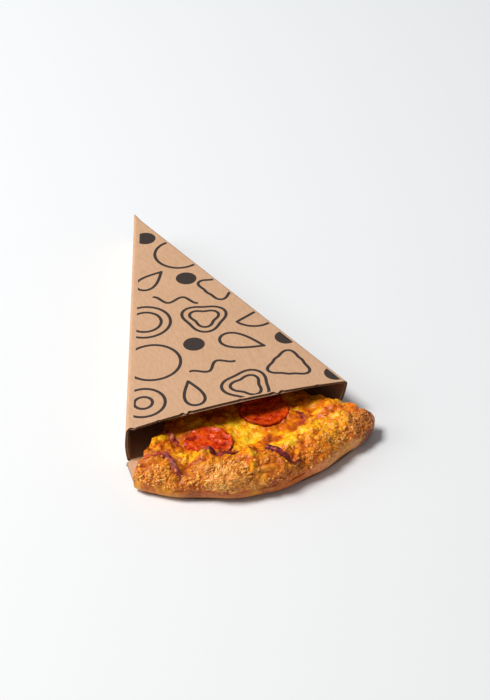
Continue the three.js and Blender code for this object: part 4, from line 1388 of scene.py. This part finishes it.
def build_cheese():
    S, rho = layer_grid(0.996, 330, (14, 184), 20.0)
    s, r = S.ravel(), rho.ravel()
    p, rise = top_with_rise(s, r)
    n = sheet_normals(p, S.shape)
    e = cheese_edge(p, s, r)
    bumps = cheese_bumps(p)[0]
    body = smooth((e - 2.0) / 11.0)
    thick = -0.5 + 1.0 * smooth(e / 2.2) + 0.5 * smooth(e / 8.0) + (cheese_thick(p[:, 0], p[:, 1]) - 0.5) * body
    thick += bumps * (0.30 * smooth((e + 0.3) / 2.0) + 0.70 * smooth((e - 1.0) / 6.0))
    # the toppings press it down a little, and it rises round them
    for cx, cy, _ in PEPPERONI.values():
        d = np.hypot(p[:, 0] - cx, p[:, 1] - cy)
        thick -= (1.1 + 0.85 * bumps) * smooth((PEPPERONI_R - 0.5 - d) / 3.0) * body
        thick += (1.0 + 1.2 * perlin(p / 4.0, 87)) * hump(d, PEPPERONI_R + 0.9, 1.7) * body
    top = p + n * (rise + thick)[:, None]
    low = p + n * (rise + np.minimum(mix(-1.3, 0.7, smooth((e - 1.0) / 4)), thick - 0.15))[:, None]
    shape = (*S.shape, 3)
    slab = Slab(top.reshape(shape), low.reshape(shape), 6, False, 4)
    v = slab.verts.copy()
    # soft, uneven cut sides that run down here and there
    for name, way in (("left", -1), ("right", 1)):
        ids = slab.side[name]
        q = v[ids]
        sag = 0.55 * perlin(q.reshape(-1, 3) / 4.0, 88).reshape(ids.shape) + 0.35
        t = np.linspace(0, 1, ids.shape[1])[None, :]
        out = np.array([way * math.cos(HALF_ANGLE), math.sin(HALF_ANGLE) * 1.0, 0.0])
        v[ids] = q + (sag * np.sin(t * math.pi))[:, :, None] * out
    # colours: the lumps stay yellow, the creases turn darker orange as painted shade, thin places and blisters brown
    flat, sv, rv = flat_on_dough(v)
    _, crease, who, bl = cheese_bumps(flat)
    ev = cheese_edge(flat, sv, rv)
    a = 0.16 + 0.27 * crease + 0.34 * (who - 0.45) + 0.42 * fbm(v / np.array([9.0, 8.0, 9.0]), 2, 93) + 0.18 * perlin(v / 3.2, 95)
    a += 0.36 * (1 - smooth((ev + 0.5) / 8.0)) * (1 - 0.6 * smooth((sv - 0.35) / 0.1))
    a += 0.14 * smooth((rv - 134) / 12) * (1 - 0.9 * smooth((sv - 0.35) / 0.1))
    for cx, cy, _ in PEPPERONI.values():
        d = np.hypot(v[:, 0] - cx, v[:, 1] - cy)
        a += 0.22 * smooth((PEPPERONI_R + 4.0 - d) / 4.0)
    a -= 0.26 * blob(v, -3, -246, 17, 12, 10, 0.5, 31)
    a -= 0.26 * blob(v, 24, -268, 11, 9, 20, 0.5, 32)
    a -= 0.10 * blob(v, -46, -262, 7, 7, 0, 0.5, 33)
    a += 0.20 * blob(v, -58, -250, 9, 7, -10, 0.7, 40)
    a += 0.18 * blob(v, -38, -272, 9, 4, 10, 0.7, 41)
    a -= 0.20 * blob(v, 50, -268, 15, 9, 25, 0.6, 38)
    a += 0.34 * blob(v, 15, -258, 9, 6, 10, 0.5, 34)
    a += 0.26 * blob(v, 34, -252, 8, 6, 10, 0.6, 39)
    a += 0.36 * blob(v, 42, -243, 9, 5, 25, 0.6, 35)
    a += 0.32 * blob(v, -48, -243, 8, 7, 0, 0.5, 36)
    a += 0.24 * blob(v, 52, -250, 9, 6, 30, 0.6, 37)
    a += 0.20 * np.clip(bl / 0.8, 0, 1)
    a += 0.36 * blob(v, -3, -272, 7.5, 7, 0, 0.5, 42)
    # deeper inside, under the sleeve's top, the cheese turns browner: painted shade
    a += 0.26 * smooth((v[:, 1] + 237) / 9) * (1 - 0.5 * smooth((v[:, 1] + 205) / 20))
    a += 0.28 * blob(v, -66, -258, 12, 8, -25, 0.6, 43)
    rgb = gradient(
        a,
        [
            (-0.1, (0.98, 0.62, 0.030)),
            (0.12, (0.95, 0.47, 0.006)),
            (0.34, (0.87, 0.31, 0.004)),
            (0.56, (0.74, 0.165, 0.004)),
            (0.78, (0.51, 0.085, 0.006)),
            (1.05, (0.24, 0.034, 0.006)),
        ],
    )
    me = make_mesh("cheese_layer", v, slab.faces, 62)
    colour_layer(me, "tone", rgb)
    me.materials.append(cheese_paint())
    return link_piece("cheese_layer", me, ("melted_cheese",)), v, slab.faces


# ------------------------------------------------------------------ toppings
PEPPERONI = {
    "pepperoni_left": (-25.5, -248.4, 0.5),
    "pepperoni_right": (19.6, -228.2, 2.2),
    "pepperoni_inner": (-4.5, -189.5, 4.0),
}
ONIONS = {
    "onion_strip_middle": [(4.3, -269.6), (7.7, -274.3), (10.6, -281.8), (16.5, -288.2), (24.2, -286.4)],
    "onion_strip_left": [(-71.5, -257), (-66, -255.3), (-59.8, -257.2), (-56, -265), (-54, -276.5)],
    "onion_strip_near": [(-37, -258), (-29, -265.6), (-18, -267.2), (-7, -265)],
    "onion_strip_right": [(37.0, -233.7), (40.0, -238), (41.8, -243), (39.6, -248.6), (35, -253.6)],
    "onion_strip_far": [(-48.6, -228.4), (-46.6, -234), (-44.8, -239.6), (-44, -246)],
}
# how purple, how browned, how deep in the cheese
ONION_LOOK = {
    "onion_strip_middle": (0.92, 0.20, -0.10),
    "onion_strip_left": (0.88, 0.45, 0.05),
    "onion_strip_near": (0.86, 0.36, 0.05),
    "onion_strip_right": (0.66, 0.50, 0.20),
    "onion_strip_far": (0.70, 0.62, 0.40),
}


def surface(x, y):
    s, rho = locate(x, y)
    inside = smooth((cheese_r(s) - rho) / 6)
    top = dough_top(s, rho)
    return top + inside * (2 * GAP + SAUCE + cheese_thick(x, y) * smooth((cheese_r(s) - rho) / 12))


def build_pepperoni(name, paint, look):
    cx, cy, seed = PEPPERONI[name]
    at = lambda dx, dy: float(surface(np.array([cx + dx]), np.array([cy + dy]))[0])
    q = 8.0
    mean = (at(q, 0) + at(-q, 0) + at(0, q) + at(0, -q)) / 4
    sx = 0.55 * (at(q, 0) - at(-q, 0)) / (2 * q)
    sy = 0.55 * (at(0, q) - at(0, -q)) / (2 * q)
    rings, turns = 44, 150
    th = np.linspace(0, 2 * math.pi, turns, endpoint=False)
    # from the middle of the top to the rim, round the rim, and back under
    prof = [(t, 1.0) for t in np.linspace(0, 0.955, rings + 1)[1:]]
    prof += [(0.955 + 0.045 * math.sin(a), 0.5 + 0.5 * math.cos(a)) for a in np.linspace(0, math.pi, 9)[1:-1]]
    prof += [(t, 0.0) for t in np.linspace(0.955, 0, 20)[:-1]]
    base = [np.stack([t * np.cos(th), t * np.sin(th), np.full(turns, up)], 1) for t, up in prof]
    pts = np.concatenate(base + [np.array([[0, 0, 1.0], [0, 0, 0.0]])])
    t = np.hypot(pts[:, 0], pts[:, 1])
    a = np.arctan2(pts[:, 1], pts[:, 0])
    ring3 = np.stack([np.cos(a), np.sin(a), np.full(len(a), seed)], 1)
    edge = 1 + 0.022 * np.sin(2 * a + seed) + 0.016 * np.sin(5 * a + seed * 2) + 0.024 * perlin(ring3 * 2.6, 101)
    x, y = pts[:, 0] * PEPPERONI_R * edge, pts[:, 1] * PEPPERONI_R * edge
    flatp = np.stack([x, y, np.full(len(x), seed * 10)], 1)
    warp = flatp + 1.6 * np.stack([perlin(flatp / 6.0 + k * 4.0, 115 + k) for k in range(3)], 1)
    thick = 1.7 + 0.2 * perlin(flatp / 5.0, 103)
    curl = look["curl"] * t**3.2 * (0.5 + 0.5 * np.sin(look["lobes"] * a + look["turn"])) + look["cup"] * t**2.2
    folds = look["wrinkle"] * smooth(t * 1.6) * (
        0.95 * (0.45 - np.abs(perlin(warp * np.array([0.8, 1.4, 1]) / 7.0, 105)))
        + 0.42 * (0.4 - np.abs(perlin(warp * np.array([0.8, 1.4, 1]) / 3.4, 106)))
        + 0.35 * fbm(warp / 8.5, 2, 107)
    )
    fine = 0.09 * perlin(flatp / 1.5, 109) + 0.04 * perlin(flatp / 0.7, 110)
    z = mean - 1.45 + curl + folds + pts[:, 2] * thick - 1.0 * t * (1 - pts[:, 2]) + fine * np.where(pts[:, 2] > 0.4, 1, 0.2) + sx * x + sy * y
    # one stretch of the rim stands up
    z += look["lip"] * t**7 * np.exp(-((np.angle(np.exp(1j * (a + 2.35)))) / 0.55) ** 2)
    if look["fold"]:
        # the near edge is turned down
        near = smooth((-pts[:, 1] - 0.55) / 0.45)
        z -= look["fold"] * near**1.5
    v = np.stack([cx + x, cy + y, z], 1)
    rows = len(prof)
    grid = np.arange(rows * turns).reshape(rows, turns)
    grid = np.concatenate([grid, grid[:, :1]], 1)
    faces = grid_faces(grid, False)
    top_mid, low_mid = rows * turns, rows * turns + 1
    for j in range(turns):
        faces.append([top_mid, int(grid[0, j]), int(grid[0, j + 1])])
        faces.append([low_mid, int(grid[-1, j + 1]), int(grid[-1, j])])
    n = vertex_normals(v, faces)
    if (n[: rings * turns, 2]).mean() < 0:
        faces = [f[::-1] for f in faces]
    dark = 0.6 * smooth((t - 0.9) / 0.09) * (0.45 + 0.55 * perlin(ring3 * 3, 111))
    dark += look["shadow"] * smooth((-pts[:, 1] - 0.42 + 0.2 * perlin(flatp / 4, 112)) / 0.3)
    # the valleys of the folds and the lower side of the rim are darkened: painted shade
    dark += 0.6 * smooth((-folds - 0.05) / 0.5)
    dark = np.clip(dark + 0.4 * (pts[:, 2] < 0.6), 0, 1)
    # the fatty orange grows on the fold ridges: partly the slice's own fat, partly painted highlight
    fat = np.clip(look["fat"] + 0.6 * fbm(flatp / 5.0, 2, 113) + 0.6 * np.clip(folds, -0.5, 1), 0, 1)
    me = make_mesh(paint["piece"], v, faces, 70)
    colour_layer(me, "tone", np.stack([dark, fat, fat * 0], 1))
    me.materials.append(paint["mat"])
    return link_piece(paint["piece"], me, (name,)), v, faces


def catmull(points, n):
    p = np.array(points, float)
    p = np.concatenate([[2 * p[0] - p[1]], p, [2 * p[-1] - p[-2]]])
    out = []
    segs = len(p) - 3
    for k in range(n):
        u = k / (n - 1) * segs
        i = min(int(u), segs - 1)
        t = u - i
        a, b, c, d = p[i : i + 4]
        out.append(0.5 * (2 * b + t * (c - a) + t * t * (2 * a - 5 * b + 4 * c - d) + t**3 * (3 * b - 3 * c + d - a)))
    return np.array(out)


def build_onion(name, piece, mat, trees, seed):
    deep, brown_share, sunk = ONION_LOOK[name]
    path = catmull(ONIONS[name], 84)
    u = np.linspace(0, 1, len(path))
    side0 = np.gradient(path, axis=0)
    side0 = np.stack([-side0[:, 1], side0[:, 0]], 1) / np.linalg.norm(side0, axis=1)[:, None]
    sway = 1.1 * perlin(np.stack([u * 3.2, u * 0 + seed, u * 0], 1), 131)
    path = path + side0 * sway[:, None]
    lift = []
    for x, y in path:
        best = None
        for tree in trees:
            hit = tree.ray_cast(Vector((x, y, 60.0)), Vector((0, 0, -1)))
            if hit[0] is not None and (best is None or hit[0].z > best):
                best = hit[0].z
        lift.append(best if best is not None else float(surface(np.array([x]), np.array([y]))[0]))
    lift = np.array(lift)
    kernel = np.ones(9) / 9
    padded = np.concatenate([np.full(4, lift[0]), lift, np.full(4, lift[-1])])
    lift = np.convolve(padded, kernel, "valid")
    ride_up = 0.45 * perlin(np.stack([u * 4.0, u * 0, u * 0 + seed], 1), 133) - 0.5 * smooth((np.abs(u - 0.5) - 0.36) / 0.14)
    c = np.c_[path, lift + 0.25 - sunk + ride_up]
    t = np.gradient(c, axis=0)
    t /= np.linalg.norm(t, axis=1)[:, None]
    up = np.array([0, 0, 1.0])
    sidev = np.cross(t, up)
    sidev /= np.linalg.norm(sidev, axis=1)[:, None]
    upv = np.cross(sidev, t)
    taper = np.clip(np.sin(u * math.pi), 0, 1) ** 0.6
    n = 36
    ang = np.linspace(0, 2 * math.pi, n, endpoint=False)
    rows = []
    roll = 0.5 * np.sin(u * 3 + seed)
    vary = 1 + 0.55 * perlin(np.stack([u * 6.0, u * 0 + 3, u * 0 + seed], 1), 135)
    for k in range(len(c)):
        w = (2.45 + (0.9 if name == "onion_strip_left" else 0.0) * (1 - u[k])) * (0.4 + 0.6 * taper[k]) * vary[k]
        h = 0.72 * (0.4 + 0.6 * taper[k])
        cx_, cz_ = w * np.cos(ang), h * np.sin(ang)
        # a strip from one leaf: a shallow trough, its sides a little higher
        cz_ = cz_ + 0.30 * w * (cx_ / w) ** 2 - 0.12 * w
        cr_, sr_ = math.cos(roll[k]), math.sin(roll[k])
        a, b = cx_ * cr_ - cz_ * sr_, cx_ * sr_ + cz_ * cr_
        rows.append(c[k] + a[:, None] * sidev[k] + b[:, None] * upv[k])
    v = np.concatenate(rows)
    v += 0.35 * np.stack([perlin(v / 2.4 + k * 9.1, 120 + k) for k in range(3)], 1)
    grid = np.arange(len(v)).reshape(len(c), n)
    grid = np.concatenate([grid, grid[:, :1]], 1)
    faces = grid_faces(grid, False)
    ends = np.array([c[0] - t[0] * 0.35, c[-1] + t[-1] * 0.35])
    m0 = len(v)
    v = np.concatenate([v, ends])
    for j in range(n):
        faces.append([m0, int(grid[0, j + 1]), int(grid[0, j])])
        faces.append([m0 + 1, int(grid[-1, j]), int(grid[-1, j + 1])])
    normal = vertex_normals(v, faces)
    mid = normal[: len(c) * n].reshape(len(c), n, 3)
    outward = (mid * (v[: len(c) * n].reshape(len(c), n, 3) - c[:, None])).sum()
    if outward < 0:
        faces = [f[::-1] for f in faces]
    around = np.tile(np.cos(ang), len(c))
    length = np.repeat(u, n)
    tone = deep - 0.34 * np.exp(-(((around + 0.1) / 0.4) ** 2)) * np.tile(np.sin(ang) > 0, len(c))
    tone += 0.45 * fbm(v[:m0] / 3.2, 2, seed) + 0.1 * perlin(v[:m0] / 0.9, seed)
    if name == "onion_strip_left":
        tone -= 0.60 * (1 - smooth(length / 0.62))
    tone = np.concatenate([tone, [0.3, 0.3]])
    brown = np.clip(brown_share - 0.25 + 0.8 * fbm(v / 4.0, 2, seed + 4), 0, 1)
    if name == "onion_strip_left":
        brown[:m0] = np.clip(brown[:m0] + 0.9 * (1 - smooth(length / 0.7)), 0, 1)
    me = make_mesh(piece, v, faces, 75)
    colour_layer(me, "tone", np.stack([np.clip(tone, 0, 1), brown, brown * 0], 1))
    me.materials.append(mat)
    return link_piece(piece, me, (name,))


# ------------------------------------------------------------------ crumbs on the rim
def ico(level):
    import bmesh

    bm = bmesh.new()
    bmesh.ops.create_icosphere(bm, subdivisions=level, radius=1.0)
    v = np.array([p.co[:] for p in bm.verts])
    f = np.array([[p.index for p in q.verts] for q in bm.faces])
    bm.free()
    return v, f


def face_sample(verts, faces, count, rng, weight, kind):
    """Random points on a mesh with their normals. weight says how likely each face is; kind is a
    number for each vertex that it gets to see."""
    tris = []
    for f in faces:
        tris.append(f[:3])
        if len(f) == 4:
            tris.append([f[0], f[2], f[3]])
    tris = np.array(tris)
    a, b, c = verts[tris[:, 0]], verts[tris[:, 1]], verts[tris[:, 2]]
    cross = np.cross(b - a, c - a)
    area = np.linalg.norm(cross, axis=1) / 2
    normal = cross / np.maximum(np.linalg.norm(cross, axis=1), 1e-9)[:, None]
    w = area * weight((a + b + c) / 3, normal, kind[tris[:, 0]])
    pick = rng.choice(len(tris), count, p=w / w.sum())
    u, v = rng.random(count), rng.random(count)
    over = u + v > 1
    u[over], v[over] = 1 - u[over], 1 - v[over]
    p = a[pick] + u[:, None] * (b - a)[pick] + v[:, None] * (c - a)[pick]
    return p, normal[pick]


def build_grains(name, at, normal, sizes, colours, level, rng, slot_name, mat, squash=0.75, stretch=(1.0, 1.4), sink=0.25, way=None):
    sv, sf = ico(level)
    n = len(at)
    # a frame on each surface point, turned at random or roughly along a way
    if way is None:
        ref = np.where(np.abs(normal[:, 2:3]) < 0.9, [[0, 0, 1.0]], [[1.0, 0, 0]])
        turn = rng.uniform(0, 2 * math.pi, n)
    else:
        ref = np.repeat([way], n, 0)
        turn = rng.normal(0, 0.6, n)
    t2 = np.cross(normal, ref)
    t2 /= np.maximum(np.linalg.norm(t2, axis=1), 1e-6)[:, None]
    t1 = np.cross(t2, normal)
    c, s = np.cos(turn)[:, None], np.sin(turn)[:, None]
    t1, t2 = t1 * c + t2 * s, t2 * c - t1 * s
    long = rng.uniform(*stretch, n)
    bent = rng.uniform(-0.35, 0.35, n)
    tilt = rng.normal(0, 0.16, n)
    v = sv[None] * (1 + rng.uniform(-0.16, 0.16, (n, len(sv), 1)))
    x = v[:, :, 0] * (sizes * long)[:, None] / 2
    y = v[:, :, 1] * sizes[:, None] / 2 + bent[:, None] * (v[:, :, 0] ** 2 - 0.4) * (sizes * (long - 1))[:, None] / 2
    z = v[:, :, 2] * (sizes * squash)[:, None] / 2 + (sizes * (0.5 * squash - sink))[:, None] + x * np.abs(tilt)[:, None]
    p = at[:, None] + x[:, :, None] * t1[:, None] + y[:, :, None] * t2[:, None] + z[:, :, None] * normal[:, None]
    verts = p.reshape(-1, 3)
    faces = (sf[None] + (np.arange(n) * len(sv))[:, None, None]).reshape(-1, 3)
    me = make_mesh(name, verts, faces.tolist())
    colour_layer(me, "tone", np.repeat(colours, len(sv), 0))
    me.materials.append(mat)
    return link_piece(name, me)


def build_all_grains(dough_v, dough_f, cheese_v, cheese_f):
    rng = np.random.default_rng(77)
    mat = grain_paint("baked_crumbs")
    pale, gold, brown = np.array([1.0, 0.505, 0.088]), np.array([0.86, 0.26, 0.016]), np.array([0.44, 0.090, 0.009])

    def tints(n, light):
        t = rng.random(n)[:, None]
        k = rng.random(n)[:, None]
        # light raises the share of pale grains: partly the grated cheese's own colour, partly painted glints
        col = mix(gold, pale, np.clip(t * 1.7 - 0.95 + light, 0, 1))
        return np.where(k < 0.16, mix(brown, gold, t), col)

    verts = np.concatenate([dough_v, cheese_v])
    faces = dough_f + [[q + len(dough_v) for q in f] for f in cheese_f]
    kind = np.r_[np.zeros(len(dough_v)), np.ones(len(cheese_v))]

    def bare(c, k):
        """1 where the surface, dough (0) or cheese (1), is the one on top."""
        flat, s, rho = flat_on_dough(c)
        e = cheese_edge(flat, s, rho)
        return np.where(k > 0.5, e > 1.0, e < 0.9), s, rho

    def on_rim(c, n, k):
        top, s, rho = bare(c, k)
        stray = 0.02 * smooth((c[:, 2] - 10) / 4) * smooth((rho - cheese_r(s)) / 4)
        main = blob(c, -24.5, -287, 20, 9, -18, 0.35, 1)
        return top * (grain_cover(c) ** 1.3 * (1 - 0.55 * main) + stray) * (n[:, 2] > -0.15)

    def flaky(c, n, k):
        top, _, _ = bare(c, k)
        main = blob(c, -24.5, -287, 20, 9, -18, 0.35, 1)
        return top * grain_cover(c) ** 1.5 * (0.08 + main) * (n[:, 2] > -0.15)

    # a few crumbs of the same kind on the cheese
    def on_cheese(c, n, k):
        s, rho = locate(c[:, 0], c[:, 1])
        near = smooth((rho - cheese_r(s) + 20) / 12) * smooth((cheese_r(s) + 4 - rho) / 3)
        return (k > 0.5) * (n[:, 2] > 0.3) * near * (0.2 + smooth(fbm(c / 9.0, 2, 143)))

    def strew(name, n, where, lo, hi, light, level, slot_name, **how):
        at, nor = face_sample(verts, faces, n, rng, where, kind)
        toast = 1 - blob(at, 75, -264, 13, 8, 38, 0.4, 11)[:, None] * np.array([0.30, 0.45, 0.45])
        size = rng.uniform(lo, hi, n) * (1 + 0.3 * (rng.random(n) > 0.88))
        build_grains(name, at, nor, size, tints(n, light) * toast, level, rng, slot_name, mat, **how)

    strew("crust_crumbs", 2100, on_rim, 0.55, 1.15, 0.4, 1, "crust")
    strew("crust_coarse_crumbs", 560, on_rim, 1.2, 1.9, 0.7, 2, "crust", squash=0.7)
    strew("crust_grated_flakes", 860, flaky, 1.0, 1.55, 0.75, 2, "crust", squash=0.8, stretch=(1.9, 3.8), sink=0.1, way=(1.0, 0.55, 0.0))
    strew("cheese_crumbs", 220, on_cheese, 0.6, 1.1, 0.3, 1, "cheese")


# ------------------------------------------------------------------ put together
def main():
    studio()
    build_sleeve()
    _, dough_v, dough_f = build_dough()
    build_sauce()
    _, cheese_v, cheese_f = build_cheese()
    left = {"piece": "pepperoni_slice_left", "mat": pepperoni_paint("pepperoni_bright", 1.0)}
    # the right slice lies in the shadow of the sleeve's top and the inner one under it: their copy is darker, painted
    # shade
    right = {"piece": "pepperoni_slice_right", "mat": pepperoni_paint("pepperoni_painted_shade", 0.92)}
    inner = {"piece": "pepperoni_slice_inner", "mat": right["mat"]}
    build_pepperoni("pepperoni_left", left, {"curl": 0.5, "lobes": 3, "turn": 0.4, "cup": 0.2, "wrinkle": 2.2, "fold": 1.2, "shadow": 0.75, "fat": 0.6, "lip": 0.0})
    build_pepperoni("pepperoni_right", right, {"curl": 0.5, "lobes": 2, "turn": 2.6, "cup": 0.5, "wrinkle": 1.2, "fold": 0.0, "shadow": 0.0, "fat": 0.5, "lip": 1.6})
    build_pepperoni("pepperoni_inner", inner, {"curl": 0.8, "lobes": 3, "turn": 1.3, "cup": 0.6, "wrinkle": 0.8, "fold": 0.0, "shadow": 0.0, "fat": 0.4, "lip": 0.0})
    trees = [BVHTree.FromPolygons(v.tolist(), f) for v, f in ((dough_v, dough_f), (cheese_v, cheese_f))]
    onion = onion_paint()
    for k, name in enumerate(ONIONS):
        build_onion(name, name.replace("strip", "curl"), onion, trees, 5 + 3 * k)
    build_all_grains(dough_v, dough_f, cheese_v, cheese_f)


main()
{"cad": CAD_BOX, "visual": [list(v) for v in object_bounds()]}
